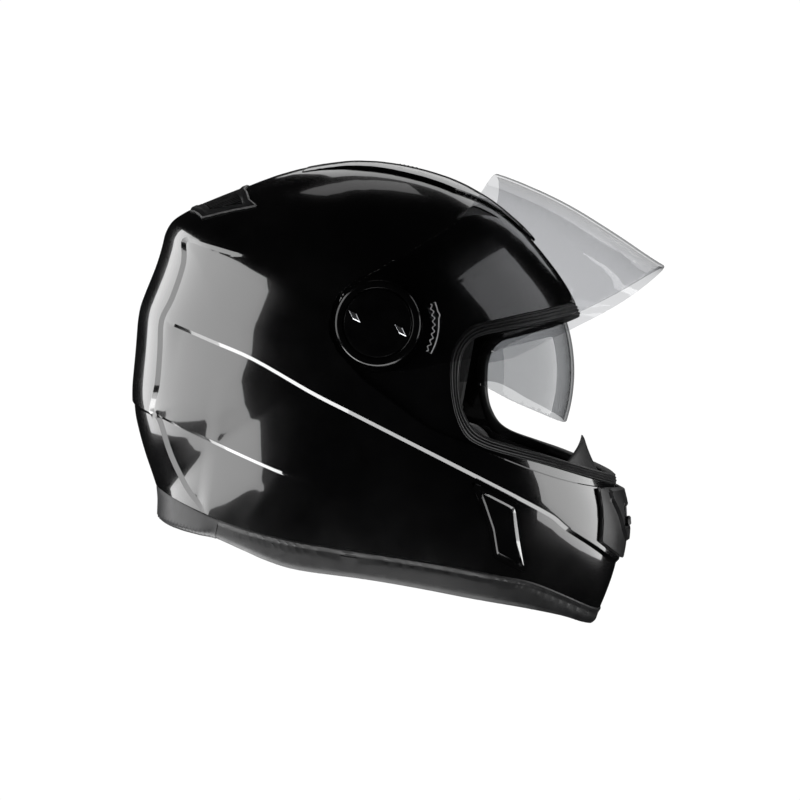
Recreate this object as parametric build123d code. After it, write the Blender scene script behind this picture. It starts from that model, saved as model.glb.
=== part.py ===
from build123d import *
import math
import os

os.makedirs("parts", exist_ok=True)

# ---------------------------------------------------------------- driving dimensions (mm)
# Frame: +Z up, the helmet stands on its flat rim at Z = 0, the face looks toward -Y,
# the rider's right hand side is -X. All tables below are in a shell frame whose Y is
# shifted by Y_MID at export, so that the origin is at the middle of the footprint box.
Y_MID = 7.54
HALF_WIDTH = 124.0          # half width of the shell's virtual side bulge
SIDE_EXP = 2.1              # how quickly the side flattens
BULGE_Y, BULGE_Z = 12.0, 163.0   # centre of the side bulge in the side view
WALL = 4.0                  # shell wall
INNER_CAP = 115.0           # the wall is thicker behind the visor pivots
RECESS = 1.5                # depth of the step round the closed visor
RECESS_CAP = 119.2
PIVOT_Y, PIVOT_Z = 9.5, 172.9    # visor axis
POCKET_R, POCKET_X = 31.5, 118.2
VISOR_IN, VISOR_OUT = 1.4, 3.3   # closed visor, offsets from the shell skin
VISOR_FLAT_IN, VISOR_FLAT_OUT = 121.3, 123.3
VISOR_OPEN = 47.9           # degrees, fully raised, the rest position
HUB_R, HUB_CLEAR = 16.0, 0.06
COVER_R = 27.5
SUN_Y, SUN_Z = -0.7, 144.4  # sun visor axis
SUN_R, SUN_W, SUN_T = 113.6, 107.0, 2.0
SUN_PIN_R, SUN_PIN_CLEAR = 3.0, 0.05
CAV_Y, CAV_Z = 20.0, 150.0  # centre of the head cavity
CAV_LEN, CAV_UP, CAV_W = 107.0, 100.0, 88.0
SUN_FLAT = 103.4            # outer face of the flat sun visor ears
COMFORT_T = 9.0             # comfort liner
LEVER_Y, LEVER_TRAVEL = 14.0, 16.0   # sun visor lever, front end of its travel
RIM_Z = 0.0

# side outline of the shell skin, radius about the bulge centre every 3 degrees,
# from the front (0) over the crown (90) to the back (180) and under the rim
OUTLINE = [142.5, 139.5, 136.7, 134.2, 131.9, 130.0, 128.3, 126.8, 125.3, 123.8,
           122.2, 120.7, 119.3, 118.1, 117.2, 116.4, 115.9, 115.5, 115.3, 115.2,
           115.2, 115.1, 115.1, 115.0, 115.0, 115.2, 115.3, 115.5, 115.6, 115.9,
           116.3, 116.8, 117.5, 118.3, 119.2, 120.3, 121.4, 122.8, 124.2, 125.5,
           127.0, 128.6, 130.4, 132.3, 134.2, 136.4, 138.6, 141.1, 143.9, 147.2,
           151.2, 155.7, 160.9, 166.2, 170.4, 171.2, 169.8, 169.0, 169.2, 170.3,
           171.9, 173.6, 174.3, 174.6, 175.3, 176.6, 178.5, 180.7, 182.6, 183.7,
           184.3, 185.1, 186.1, 187.3, 189.2, 191.9, 196.8, 202.5, 208.7, 215.4,
           222.5, 229.5, 236.8, 242.3, 247.4, 252.0, 255.0, 258.0, 260.8, 262.2,
           263.6, 265.0, 265.8, 266.8, 267.7, 267.9, 268.2, 268.0, 266.8, 265.3,
           262.6, 259.3, 255.1, 249.6, 243.5, 236.7, 230.0, 223.9, 218.1, 212.2,
           205.3, 196.8, 186.7, 177.0, 169.6, 163.6, 158.3, 153.6, 149.4, 145.8]

# side view outlines, (y, z)
PORT_OUT = [(-200, 217), (-130, 215.5), (-104.8, 210.6), (-96.9, 206.5), (-87.2, 201.1), (-75.4, 195.6),
            (-64.2, 190.3), (-50.5, 184), (-44.7, 178.3), (-41.2, 171.1), (-39.5, 163.7),
            (-39.8, 155.4), (-41.6, 146.1), (-45.3, 133.8), (-50.7, 122), (-58.1, 112.4),
            (-67.7, 108.3), (-80.8, 106.2), (-113.3, 103.4), (-144.7, 98.6), (-156, 95.5), (-200, 93)]
PORT_IN = [(-200, 205), (-130, 204.5), (-108.5, 202.6), (-88.4, 192.6), (-68.6, 183.7), (-54.4, 176.9),
           (-48.5, 169.8), (-46.5, 161), (-47.2, 150.2), (-49.8, 137.9), (-54.2, 127.7),
           (-62, 118.9), (-72.9, 114.5), (-92.2, 112.1), (-112, 109.9), (-143.3, 105), (-154, 102.8), (-200, 101)]
VISOR_LOW = [(38.7, 170.8), (37.2, 163), (33.5, 157.2), (28, 150.5), (20.6, 144), (11.5, 137.3), (-1, 131.2),
             (-14, 124.6), (-26, 118.6), (-37, 114.4), (-58.7, 109.8), (-81, 105.2), (-107, 99.9),
             (-129, 96.9), (-154.6, 95.6)]
VISOR_TOP = [(-106.4, 214.8), (-89.7, 203.6), (-74.7, 197.2), (-61.7, 195.3),
             (-40, 196.2), (-23.9, 198.4), (-0.7, 200.8), (6.4, 201.6), (14.3, 201.2), (19.6, 199.4),
             (26.5, 195.8), (31.3, 191.4), (34.6, 186), (37.6, 179.4)]
TRIM_LINE = [(-200, 6), (-165, 10.5), (-158, 13), (-137.4, 21), (-115.5, 27), (-94.2, 28.2), (-62.5, 29),
             (-30.3, 28.5), (2, 27.2), (40.1, 25.6), (79.7, 27), (109.3, 31), (143.9, 36.5), (200, 46)]
RIM_LINE = [(58, 0), (90, 3), (120, 9), (150, 18), (200, 33)]
ROLL_FRONT = 92.0           # the neck roll shows behind this Y


# ---------------------------------------------------------------- skin of the helmet
def outline(phi):
    """Radius of the side outline, smooth periodic interpolation of the table."""
    t = (phi % 360.0) / 3.0
    i = int(t)
    f = t - i
    p0, p1, p2, p3 = [OUTLINE[(i + k) % 120] for k in (-1, 0, 1, 2)]
    return p1 + 0.5 * f * (p2 - p0 + f * (2 * p0 - 5 * p1 + 4 * p2 - p3 + f * (3 * (p1 - p2) + p3 - p0)))


def roundness(phi):
    return 2.32 - 0.14 * math.cos(math.radians(phi))


def shape(radius, width, exp, nfun, cy, cz, count=24, rho_end=0.18, rows=9):
    """Solid lofted through closed outlines in planes of constant X."""
    k_end = rho_end ** 2.3
    xe = width * (1 - k_end) ** (1 / exp)
    wires = []
    for j in range(rows):
        x = xe * math.sin(math.radians(-90 + 180 * j / (rows - 1)))
        k = 1 - (abs(x) / width) ** exp
        pts = []
        for i in range(count):
            phi = 360.0 * i / count
            r = radius(phi) * k ** (1 / nfun(phi))
            a = math.radians(phi)
            pts.append((x, cy - r * math.cos(a), cz + r * math.sin(a)))
        wires.append(Wire([Edge.make_spline([Vector(*p) for p in pts], periodic=True)]))
    return Solid.make_loft(wires)


_skins = {}


def skin(d, cap=None):
    """The shell's outer skin moved out by d, cut flat at |x| = cap."""
    if d not in _skins:
        _skins[d] = shape(lambda p: outline(p) + d, HALF_WIDTH + d, SIDE_EXP, roundness, BULGE_Y, BULGE_Z)
    s = _skins[d]
    if cap is not None:
        s = common(s, slab(cap))
    return s


def slab(h, x0=None):
    if x0 is None:
        return Solid.make_box(2 * h, 600, 600).moved(Location((-h, -300, -150)))
    return Solid.make_box(h - x0, 600, 600).moved(Location((x0, -300, -150)))


def box(x0, x1, y0, y1, z0, z1):
    return Solid.make_box(x1 - x0, y1 - y0, z1 - z0).moved(Location((x0, y0, z0)))


def prism_x(pts, x0=-200.0, x1=200.0):
    """Side view polygon extruded along X."""
    f = Face(Wire.make_polygon([Vector(x0, y, z) for y, z in pts], close=True))
    return Solid.extrude(f, Vector(x1 - x0, 0, 0))


def prism_x_smooth(line, closing, x0=-200.0, x1=200.0):
    """Side view outline: a spline through line, closed by straight runs through closing."""
    s = Edge.make_spline([Vector(x0, y, z) for y, z in line])
    p = Edge.make_line
    pts = [line[-1]] + list(closing) + [line[0]]
    edges = [s] + [p(Vector(x0, *a), Vector(x0, *b)) for a, b in zip(pts[:-1], pts[1:])]
    return Solid.extrude(Face(Wire(edges)), Vector(x1 - x0, 0, 0))


def prism_y(pts, y0, y1):
    """Front view polygon (x, z) extruded along Y."""
    f = Face(Wire.make_polygon([Vector(x, y0, z) for x, z in pts], close=True))
    return Solid.extrude(f, Vector(0, y1 - y0, 0))


def prism_z(pts, z0, z1):
    """Plan view polygon (x, y) extruded along Z."""
    f = Face(Wire.make_polygon([Vector(x, y, z0) for x, y in pts], close=True))
    return Solid.extrude(f, Vector(0, 0, z1 - z0))


def rod_x(r, x0, x1, y, z):
    return Solid.make_cylinder(r, abs(x1 - x0), Plane(origin=(min(x0, x1), y, z), z_dir=(1, 0, 0)))


def solids(s):
    if s is None:
        return []
    if isinstance(s, Solid):
        return [s]
    if isinstance(s, (list, tuple, ShapeList)):
        out = []
        for q in s:
            out += solids(q)
        return out
    return list(s.solids())


def cut(a, *tools):
    """a without the tools, the largest piece left."""
    flat = []
    for t in tools:
        flat += solids(t)
    return one(solids(one(a).cut(*flat)))


def common(a, b):
    return one(solids(one(a).intersect(one(b))))


def biggest(s, n=1):
    return sorted(solids(s), key=lambda q: -q.volume)[:n]


def one(s):
    return biggest(s, 1)[0]


def both(s):
    """The piece and its mirror image on the rider's left."""
    return [s, s.mirror(Plane.YZ)]


def left(s):
    return s.mirror(Plane.YZ)


parts = {}


def put(name, shapes):
    ss = solids(shapes)
    parts[name] = ss


def swing(s, angle, y, z):
    """Turn about the X axis through (y, z); a positive angle raises the front."""
    return s.moved(Location((0, y, z)) * Location((0, 0, 0), (-angle, 0, 0)) * Location((0, -y, -z)))


# ---------------------------------------------------------------- tools shared by several pieces
port_out = prism_x_smooth(PORT_OUT[2:-2], [PORT_OUT[-2], PORT_OUT[-1], PORT_OUT[0], PORT_OUT[1]])
port_in = prism_x_smooth(PORT_IN[2:-2], [PORT_IN[-2], PORT_IN[-1], PORT_IN[0], PORT_IN[1]])
below_trim = prism_x_smooth(TRIM_LINE, [(200, -200), (-200, -200)])
under_rim = prism_x(RIM_LINE + [(200, -200), (-200, -200), (-200, 0)])
recess_outline = [(y + (1.4 if y > 30 else 0), z - 1.4) for y, z in VISOR_LOW]
recess = prism_x(recess_outline + [(-200, 94), (-200, 250), (-106.4, 214.8)] + VISOR_TOP[1:])
pockets = [rod_x(POCKET_R, POCKET_X, 140, PIVOT_Y, PIVOT_Z), rod_x(POCKET_R, -140, -POCKET_X, PIVOT_Y, PIVOT_Z)]

# ---------------------------------------------------------------- vents, plan and front outlines
CHIN_HOUSING = [(-56, 60), (-52, 88), (-40, 93.4), (40, 93.4), (52, 88), (56, 60), (40, 56), (-40, 56)]
CHIN_SLOT = (24.0, 69.0, 82.0)
TOP_HOUSING = [(44, 88), (49, 52), (50, 20), (49.5, -5), (48.5, -16), (39.6, -28.6), (29.7, -42.8), (20.4, -58),
               (10, -66), (0, -69), (-10, -66), (-20.4, -58), (-29.7, -42.8), (-39.6, -28.6), (-48.5, -16),
               (-49.5, -5), (-50, 20), (-49, 52), (-44, 88)]
TOP_MESH = [(52.5, -30), (80.5, -21.8), (39.5, -48.5)]
TOP_SLOT = (9.5, 14.0, 42.0)
EXHAUST = [(38.4, 158.6), (66.3, 144.2), (78.2, 106.8), (66.3, 115), (40, 124), (0, 128), (-40, 124), (-66.3, 115),
           (-78.2, 106.8), (-66.3, 144.2), (-38.4, 158.6), (0, 164)]
EXHAUST_IN = [(30, 153), (58, 141), (68, 119), (40, 130), (0, 134), (-40, 130), (-68, 119), (-58, 141),
              (-30, 153), (0, 158)]
SIDE_VENT = [(-66.2, 85.4), (-93, 76.8), (-97, 75.5), (-98.9, 72.3), (-111.5, 34.1), (-110, 32.9), (-88.5, 39.6),
             (-84.2, 55)]

# ---------------------------------------------------------------- outer shell
outer = skin(0.0)
inner = skin(-WALL, INNER_CAP)
low = common(skin(-RECESS, RECESS_CAP), recess)
body = cut(outer, recess)
shell = one(body.fuse(low))
side_pocket = cut(prism_x(SIDE_VENT, -200, 0), skin(-2.0))
mesh_cut = prism_z(TOP_MESH, 200, 300)
exhaust_cut = prism_z(EXHAUST_IN, 180, 300)
shell = cut(shell, inner, port_out, below_trim, pockets,
            box(-CHIN_SLOT[0], CHIN_SLOT[0], -200, -120, CHIN_SLOT[1], CHIN_SLOT[2]),
            mesh_cut, left(mesh_cut), exhaust_cut, side_pocket, left(side_pocket))
put("outer_shell", shell)

# ---------------------------------------------------------------- bottom trim and neck roll
rivet_at = [(-15.0, 24.0), (-1.0, 24.0)]
rivet_holes = []
for y, z in rivet_at:
    rivet_holes += [rod_x(2.55, 90, 104.5, y, z), rod_x(2.55, -104.5, -90, y, z)]
trim = cut(common(skin(0.5), below_trim), skin(-7.0), under_rim, box(-200, 200, ROLL_FRONT, 260, -50, 120))
trim = cut(trim, box(90, 130, LEVER_Y - 1.5, LEVER_Y + 7.0 + LEVER_TRAVEL + 1.5, 13.0, 19.0), rivet_holes)
put("bottom_trim", trim)
roll = cut(common(skin(2.5), below_trim), skin(-22.0), under_rim, box(-200, 200, -260, ROLL_FRONT + 0.4, -50, 120))
put("neck_roll", roll)

# ---------------------------------------------------------------- eye port gasket
put("eye_port_gasket", cut(common(skin(0.2), port_out), skin(-6.5), port_in))


# ---------------------------------------------------------------- energy absorbing liner
def cav(d):
    """Superellipsoid head cavity moved out by d, open far below."""
    def rf(p):
        c, s = abs(math.cos(math.radians(p))), abs(math.sin(math.radians(p)))
        up = CAV_UP if 0 <= p <= 180 else 220.0
        return ((c / (CAV_LEN + d)) ** 2.5 + (s / (up + d)) ** 2.5) ** -0.4
    return shape(rf, CAV_W + d, 2.4, lambda p: 2.4, CAV_Y, CAV_Z, count=16, rho_end=0.25, rows=7)


def sun_profile(dr, n=16):
    """Radius of the sun visor about its own axis at each X, moved by dr."""
    w, r = SUN_W + dr, SUN_R + dr
    out = []
    for i in range(n + 1):
        x = w * math.sin(math.radians(90.0 * i / n))
        out.append((x, r * max(0.0, 1 - (x / w) ** 2.6) ** (1 / 2.2)))
    return out


def sun_solid(dr, cap):
    """Body of revolution bounded by the sun visor's face, with flat ends at |x| = cap."""
    prof = [p for p in sun_profile(dr) if p[1] > 20.0]
    pts = [(-x, r) for x, r in reversed(prof)] + [(x, r) for x, r in prof[1:]]
    sp = Edge.make_spline([Vector(x, SUN_Y, SUN_Z + r) for x, r in pts])
    a, b = pts[0], pts[-1]
    e = Edge.make_line
    w = Wire([sp, e(Vector(b[0], SUN_Y, SUN_Z + b[1]), Vector(b[0], SUN_Y, SUN_Z)),
              e(Vector(b[0], SUN_Y, SUN_Z), Vector(a[0], SUN_Y, SUN_Z)),
              e(Vector(a[0], SUN_Y, SUN_Z), Vector(a[0], SUN_Y, SUN_Z + a[1]))])
    return common(Solid.revolve(Face(w), 360, Axis((0, SUN_Y, SUN_Z), (1, 0, 0))), slab(cap))


def sector(a0, a1, r=260.0, y=SUN_Y, z=SUN_Z):
    """Side view wedge between two angles above the forward direction."""
    n = 8
    pts = [(y, z)]
    for i in range(n + 1):
        a = math.radians(a0 + (a1 - a0) * i / n)
        pts.append((y - r * math.cos(a), z + r * math.sin(a)))
    return prism_x(pts)


def pair(r, x0, x1, y, z):
    return [rod_x(r, x0, x1, y, z), rod_x(r, -x1, -x0, y, z)]


liner_zone = prism_x([(-98, 190), (-104, 203), (-104, 300), (230, 300), (230, 47), (62, 47), (62, 119), (-34, 119),
                      (-34, 181), (-60, 187)])
sun_room = cut(sector(-30, 84), sun_solid(-SUN_T - 0.5, SUN_FLAT - SUN_T - 0.5))
eps = common(skin(-WALL - 0.4, INNER_CAP - 0.4), liner_zone)
eps = cut(eps, cav(0.0), sun_room, port_out, pair(18.5, SUN_FLAT - SUN_T - 0.5, 140, SUN_Y, SUN_Z),
          pair(6.5, 98.0, 140, SUN_Y, SUN_Z))
put("eps_liner", eps)
chin_zone = prism_x([(-180, 30), (-72.5, 32), (-72.5, 100), (-180, 92)])
chin = cut(common(skin(-WALL - 0.4), chin_zone), skin(-22.0), port_out)
put("chin_eps", chin)

# ---------------------------------------------------------------- comfort liner
crown = cut(cav(-0.4), cav(-COMFORT_T), box(-200, 200, -200, 300, -200, 122), sector(-60, 52))
put("crown_pad", crown)
cheek_zone = prism_x([(-70, 37), (-70, 94), (-60, 106), (-50, 116), (58, 116), (58, 37)], 66, 130)
cheek = common(skin(-WALL - 1.5, 110), cheek_zone)
put("cheek_pad_left", cheek)
put("cheek_pad_right", left(cheek))


# ---------------------------------------------------------------- breath deflector, a thin nose shield behind the chin bar
def arc_band(z, front, back, half):
    e1 = Edge.make_three_point_arc(Vector(-half, back, z), Vector(0, front, z), Vector(half, back, z))
    e2 = Edge.make_three_point_arc(Vector(-half + 0.6, back + 2.0, z), Vector(0, front + 2.0, z),
                                   Vector(half - 0.6, back + 2.0, z))
    l1 = Edge.make_line(e1 @ 1, e2 @ 1)
    l2 = Edge.make_line(e2 @ 0, e1 @ 0)
    return Wire([e1, l1, e2, l2])


defl = Solid.make_loft([arc_band(100.0, -143.0, -120.0, 50), arc_band(126.0, -125.5, -106.0, 42)], ruled=True)
defl = common(defl, prism_y([(-50, 101), (-44, 106), (-30, 111), (-15, 120.5), (-6, 124.2), (6, 124.2), (15, 120.5),
                             (30, 111), (44, 106), (50, 101)], -200, -60))
put("breath_deflector", defl)

# ---------------------------------------------------------------- chin vent
ch = common(skin(3.2), prism_y(CHIN_HOUSING, -220, -100))
ch = cut(ch, skin(0.2), box(-CHIN_SLOT[0], CHIN_SLOT[0], -220, -100, CHIN_SLOT[1], CHIN_SLOT[2]), port_out)
put("chin_vent_housing", ch)
cm = common(skin(-0.6), box(-CHIN_SLOT[0] + 0.2, CHIN_SLOT[0] - 0.2, -220, -120, CHIN_SLOT[1] + 0.2, CHIN_SLOT[2] - 0.2))
put("chin_vent_mesh", cut(cm, skin(-2.6)))
cs = common(skin(5.2), box(-9, 9, -220, -120, CHIN_SLOT[1] + 0.6, CHIN_SLOT[1] + 6.2))
put("chin_vent_slider", cut(cs, skin(0.5)))

# ---------------------------------------------------------------- top vent
th = common(skin(2.2), prism_z(TOP_HOUSING, 200, 300))
slot = box(-TOP_SLOT[0], TOP_SLOT[0], TOP_SLOT[1], TOP_SLOT[2], 200, 300)
put("top_vent_housing", cut(th, skin(0.2), slot, mesh_cut, left(mesh_cut)))
ts = common(skin(3.0), box(-8.8, 8.8, TOP_SLOT[1] + 0.6, TOP_SLOT[1] + 16.6, 200, 300))
put("top_vent_slider", cut(ts, skin(0.6)))
tm = cut(common(skin(-0.6), prism_z([(57.5 + (x - 57.5) * 0.94, -33.4 + (y + 33.4) * 0.94) for x, y in TOP_MESH], 200, 300)), skin(-2.4))
put("top_vent_mesh", both(tm))

# ---------------------------------------------------------------- rear exhaust
ex = common(skin(2.4), prism_z(EXHAUST, 190, 300))
put("rear_exhaust_frame", cut(ex, skin(0.2), exhaust_cut))
exg = common(skin(0.6), prism_z([(x * 0.965, 137.5 + (y - 137.5) * 0.94) for x, y in EXHAUST_IN], 190, 300))
put("rear_exhaust_grille", cut(exg, skin(-1.6)))

# ---------------------------------------------------------------- side vents
SV_IN = [(-68.5, 83.6), (-93, 75.8), (-96.2, 74.8), (-97.9, 72), (-109.8, 34.9), (-89.5, 41), (-85.2, 55)]
sv = cut(common(skin(0.8), prism_x(SV_IN, -200, 0)), skin(-1.8))
put("side_vent_right", sv)
put("side_vent_left", left(sv))

# ---------------------------------------------------------------- visor base plates, screws, covers
COVER_X = VISOR_FLAT_OUT + 0.4
plate = one(rod_x(27.0, POCKET_X, 120.2, PIVOT_Y, PIVOT_Z).fuse(rod_x(HUB_R, 120.2, COVER_X, PIVOT_Y, PIVOT_Z)))
screw_at = [(PIVOT_Y - 8.5, PIVOT_Z), (PIVOT_Y + 8.5, PIVOT_Z)]
plate = cut(plate, [rod_x(2.05, 116, 124.5, y, z) for y, z in screw_at],
            [rod_x(3.6, 121.9, 124.5, y, z) for y, z in screw_at])
put("visor_base_plate_left", plate)
put("visor_base_plate_right", left(plate))
screws = []
for y, z in screw_at:
    screws += both(one(rod_x(1.9, POCKET_X + 0.1, 122.2, y, z).fuse(rod_x(3.4, 122.0, COVER_X - 0.1, y, z))))
put("base_plate_screws", screws)
cover = one(rod_x(COVER_R, COVER_X, COVER_X + 2.4, PIVOT_Y, PIVOT_Z).fuse(
    rod_x(22.0, COVER_X + 2.4, COVER_X + 3.2, PIVOT_Y, PIVOT_Z)))
inlay_cut, inlays = [], []
for sgn in (-1, 1):
    cyy = PIVOT_Y + sgn * 15.0
    inlay_cut.append(prism_x([(cyy - 3.2, PIVOT_Z), (cyy, PIVOT_Z + 4.6), (cyy + 3.2, PIVOT_Z), (cyy, PIVOT_Z - 4.6)],
                             COVER_X + 2.4, 140))
    inlays += both(prism_x([(cyy - 3.0, PIVOT_Z), (cyy, PIVOT_Z + 4.3), (cyy + 3.0, PIVOT_Z), (cyy, PIVOT_Z - 4.3)],
                           COVER_X + 2.4, COVER_X + 3.4))
cover = cut(cover, inlay_cut)
put("pivot_cover_left", cover)
put("pivot_cover_right", left(cover))
put("pivot_cover_inlays", inlays)

# ---------------------------------------------------------------- visor, modelled closed and then raised to rest
vis_outline = prism_x(VISOR_LOW + [(-190, 95.2), (-190, 262.9)] + VISOR_TOP)
visor = common(cut(skin(VISOR_OUT, VISOR_FLAT_OUT), skin(VISOR_IN, VISOR_FLAT_IN)), vis_outline)
visor = cut(visor, pair(HUB_R + HUB_CLEAR, 100, 140, PIVOT_Y, PIVOT_Z))
put("visor", swing(visor, VISOR_OPEN, PIVOT_Y, PIVOT_Z))

# ---------------------------------------------------------------- sun visor, lowered at rest, with its pins and brackets
sun_zone = prism_x([(9, 139.5), (-8, 136.6), (-30, 141.5), (-46.8, 145.8), (-53.2, 146.7), (-59.7, 146.2),
                    (-69.8, 143.5), (-80.1, 140), (-96.7, 135.6), (-106.1, 133), (-112.8, 130.8), (-150, 128),
                    (-150, 250), (-92, 219), (-62, 190), (-44, 172), (-20, 158), (2, 154.6), (9, 150)])
sun = common(cut(sun_solid(0.0, SUN_FLAT), sun_solid(-SUN_T, SUN_FLAT - SUN_T)), sun_zone)
sun = cut(sun, pair(SUN_PIN_R + SUN_PIN_CLEAR, 90, 120, SUN_Y, SUN_Z))
put("sun_visor", sun)
pin = one(rod_x(SUN_PIN_R, SUN_FLAT - SUN_T - 0.4, 111.0, SUN_Y, SUN_Z).fuse(rod_x(5.5, 98.4, SUN_FLAT - SUN_T - 0.35, SUN_Y, SUN_Z)))
put("sun_visor_pins", both(pin))
bracket = cut(rod_x(8.5, SUN_FLAT + 0.4, INNER_CAP, SUN_Y, SUN_Z), rod_x(SUN_PIN_R + 0.02, 90, 111.4, SUN_Y, SUN_Z))
put("sun_visor_bracket_left", bracket)
put("sun_visor_bracket_right", left(bracket))

# ---------------------------------------------------------------- sun visor lever, low on the rider's left
knob = cut(common(skin(3.6), box(90, 130, LEVER_Y - 1.0, LEVER_Y + 9.0, 11.8, 20.2)), skin(1.4))
stem = box(94.8, 108.5, LEVER_Y, LEVER_Y + 7.0, 13.8, 18.2)
button = box(93.2, 95.0, LEVER_Y - 1.0, LEVER_Y + 8.0, 12.2, 19.8)
lever = one(one(knob.fuse(stem)).fuse(button))
put("sun_visor_lever", lever)


# ---------------------------------------------------------------- chin strap, anchors and quick release buckle
def ribbon(path, t, y0, y1):
    """Flat webbing of thickness t along an (x, z) path, extruded along Y."""
    up, dn = [], []
    n = len(path)
    for i in range(n):
        a = path[max(0, i - 1)]
        b = path[min(n - 1, i + 1)]
        dx, dz = b[0] - a[0], b[1] - a[1]
        m = math.hypot(dx, dz)
        nx, nz = -dz / m * t / 2, dx / m * t / 2
        up.append((path[i][0] + nx, path[i][1] + nz))
        dn.append((path[i][0] - nx, path[i][1] - nz))
    return prism_y(up + dn[::-1], y0, y1)


anchor = cut(box(95.8, 97.4, -19, 3, 17.5, 31), rivet_holes)
SY0, SY1 = -19.0, 3.0
put("strap_anchor_left", anchor)
put("strap_anchor_right", left(anchor))
riv = []
for y, z in rivet_at:
    riv += both(one(rod_x(2.5, 93.0, 104.0, y, z).fuse(rod_x(4.2, 91.9, 93.2, y, z))))
put("strap_rivets", riv)
strap_path = [(94.6, 31), (94.6, 19), (92.4, 15.4), (87, 13.2), (75, 11.6), (60, 10.8), (45, 10.6), (37.0, 10.6)]
sl = cut(ribbon(strap_path, 1.8, SY0, SY1), rivet_holes)
put("chin_strap_left", sl)
strap_path_r = [(94.6, 31), (94.6, 19), (92.4, 15.4), (87, 13.2), (75, 11.6), (60, 10.8), (40, 10.6), (20.6, 10.6)]
sr = left(cut(ribbon(strap_path_r, 1.8, SY0, SY1), rivet_holes))
put("chin_strap_right", sr)
tongue = box(-8, 36.8, -16, 0, 9.7, 11.5)
teeth = [prism_y([(x, 11.4), (x + 2.6, 11.4), (x + 2.6, 12.6)], -14, -2) for x in range(-7, 18, 3)]
tongue = one(tongue.fuse(*teeth))
put("buckle_tongue", tongue)
frame_ = box(-20.4, 12, -21, 5, 7.0, 16.0)
frame_ = cut(frame_, box(-12, 20, -16.5, 0.5, 9.2, 13.2), box(-12, 20, -16.5, 0.5, 13.0, 30))
pin_x, pin_z = -14.0, 18.6
ears = [box(-18, -10, -21, -17.4, 15.9, 21.4), box(-18, -10, 1.4, 5, 15.9, 21.4)]
frame_ = one(frame_.fuse(*ears))
bore = Solid.make_cylinder(1.55, 40, Plane(origin=(pin_x, -28, pin_z), z_dir=(0, 1, 0)))
frame_ = cut(frame_, bore)
put("buckle_frame", frame_)
put("buckle_pin", Solid.make_cylinder(1.5, 25.6, Plane(origin=(pin_x, -20.8, pin_z), z_dir=(0, 1, 0))))
lev = box(-15.9, 15, -16.9, 0.9, 17.0, 20.2)
lev = one(lev.fuse(box(12, 18, -13, -3, 17.0, 20.2)))
lev = one(lev.fuse(box(-1.5, 1.5, -12, -4, 13.6, 17.1)))
put("buckle_lever", cut(lev, Solid.make_cylinder(1.56, 40, Plane(origin=(pin_x, -28, pin_z), z_dir=(0, 1, 0)))))

# ---------------------------------------------------------------- write the pieces
lo = [1e9] * 3
hi = [-1e9] * 3
for name, ss in parts.items():
    moved = [s.moved(Location((0, -Y_MID, RIM_Z))) for s in ss]
    comp = moved[0] if len(moved) == 1 else Compound(children=moved)
    export_step(comp, "parts/%s.step" % name)
    for s in moved:
        for v in s.tessellate(0.4)[0]:
            for k, a in enumerate((v.X, v.Y, v.Z)):
                lo[k] = min(lo[k], a)
                hi[k] = max(hi[k], a)
    print("%-26s solids %d volume %9.0f valid %s" % (name, len(moved), sum(s.volume for s in moved),
                                                     all(s.is_valid for s in moved)))
print("box", [round(v, 2) for v in lo], [round(v, 2) for v in hi])
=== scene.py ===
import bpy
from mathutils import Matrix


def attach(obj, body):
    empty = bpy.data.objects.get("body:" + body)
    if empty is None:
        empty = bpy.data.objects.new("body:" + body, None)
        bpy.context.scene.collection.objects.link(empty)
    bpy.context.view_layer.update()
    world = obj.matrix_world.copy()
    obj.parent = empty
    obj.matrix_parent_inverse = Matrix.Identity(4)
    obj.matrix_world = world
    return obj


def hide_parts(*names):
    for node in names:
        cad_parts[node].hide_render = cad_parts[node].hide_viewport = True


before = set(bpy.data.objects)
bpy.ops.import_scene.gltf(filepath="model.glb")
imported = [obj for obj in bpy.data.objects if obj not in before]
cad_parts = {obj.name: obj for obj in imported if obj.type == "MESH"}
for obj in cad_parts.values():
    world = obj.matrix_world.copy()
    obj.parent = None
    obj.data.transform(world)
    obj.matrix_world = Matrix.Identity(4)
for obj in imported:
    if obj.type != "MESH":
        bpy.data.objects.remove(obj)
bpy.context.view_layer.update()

import math
import bpy
import numpy as np
from mathutils import Matrix, Vector, noise

# ------------------------------------------------------------------ the helmet's skin, as in the CAD (mm, shell frame)
Y_MID = 7.54
W, SE = 124.0, 2.1
BY, BZ = 12.0, 163.0
PY, PZ = 9.5, 172.9
OPEN = math.radians(47.9)
RT = np.array([142.5, 139.5, 136.7, 134.2, 131.9, 130.0, 128.3, 126.8, 125.3, 123.8,
               122.2, 120.7, 119.3, 118.1, 117.2, 116.4, 115.9, 115.5, 115.3, 115.2,
               115.2, 115.1, 115.1, 115.0, 115.0, 115.2, 115.3, 115.5, 115.6, 115.9,
               116.3, 116.8, 117.5, 118.3, 119.2, 120.3, 121.4, 122.8, 124.2, 125.5,
               127.0, 128.6, 130.4, 132.3, 134.2, 136.4, 138.6, 141.1, 143.9, 147.2,
               151.2, 155.7, 160.9, 166.2, 170.4, 171.2, 169.8, 169.0, 169.2, 170.3,
               171.9, 173.6, 174.3, 174.6, 175.3, 176.6, 178.5, 180.7, 182.6, 183.7,
               184.3, 185.1, 186.1, 187.3, 189.2, 191.9, 196.8, 202.5, 208.7, 215.4,
               222.5, 229.5, 236.8, 242.3, 247.4, 252.0, 255.0, 258.0, 260.8, 262.2,
               263.6, 265.0, 265.8, 266.8, 267.7, 267.9, 268.2, 268.0, 266.8, 265.3,
               262.6, 259.3, 255.1, 249.6, 243.5, 236.7, 230.0, 223.9, 218.1, 212.2,
               205.3, 196.8, 186.7, 177.0, 169.6, 163.6, 158.3, 153.6, 149.4, 145.8])


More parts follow.
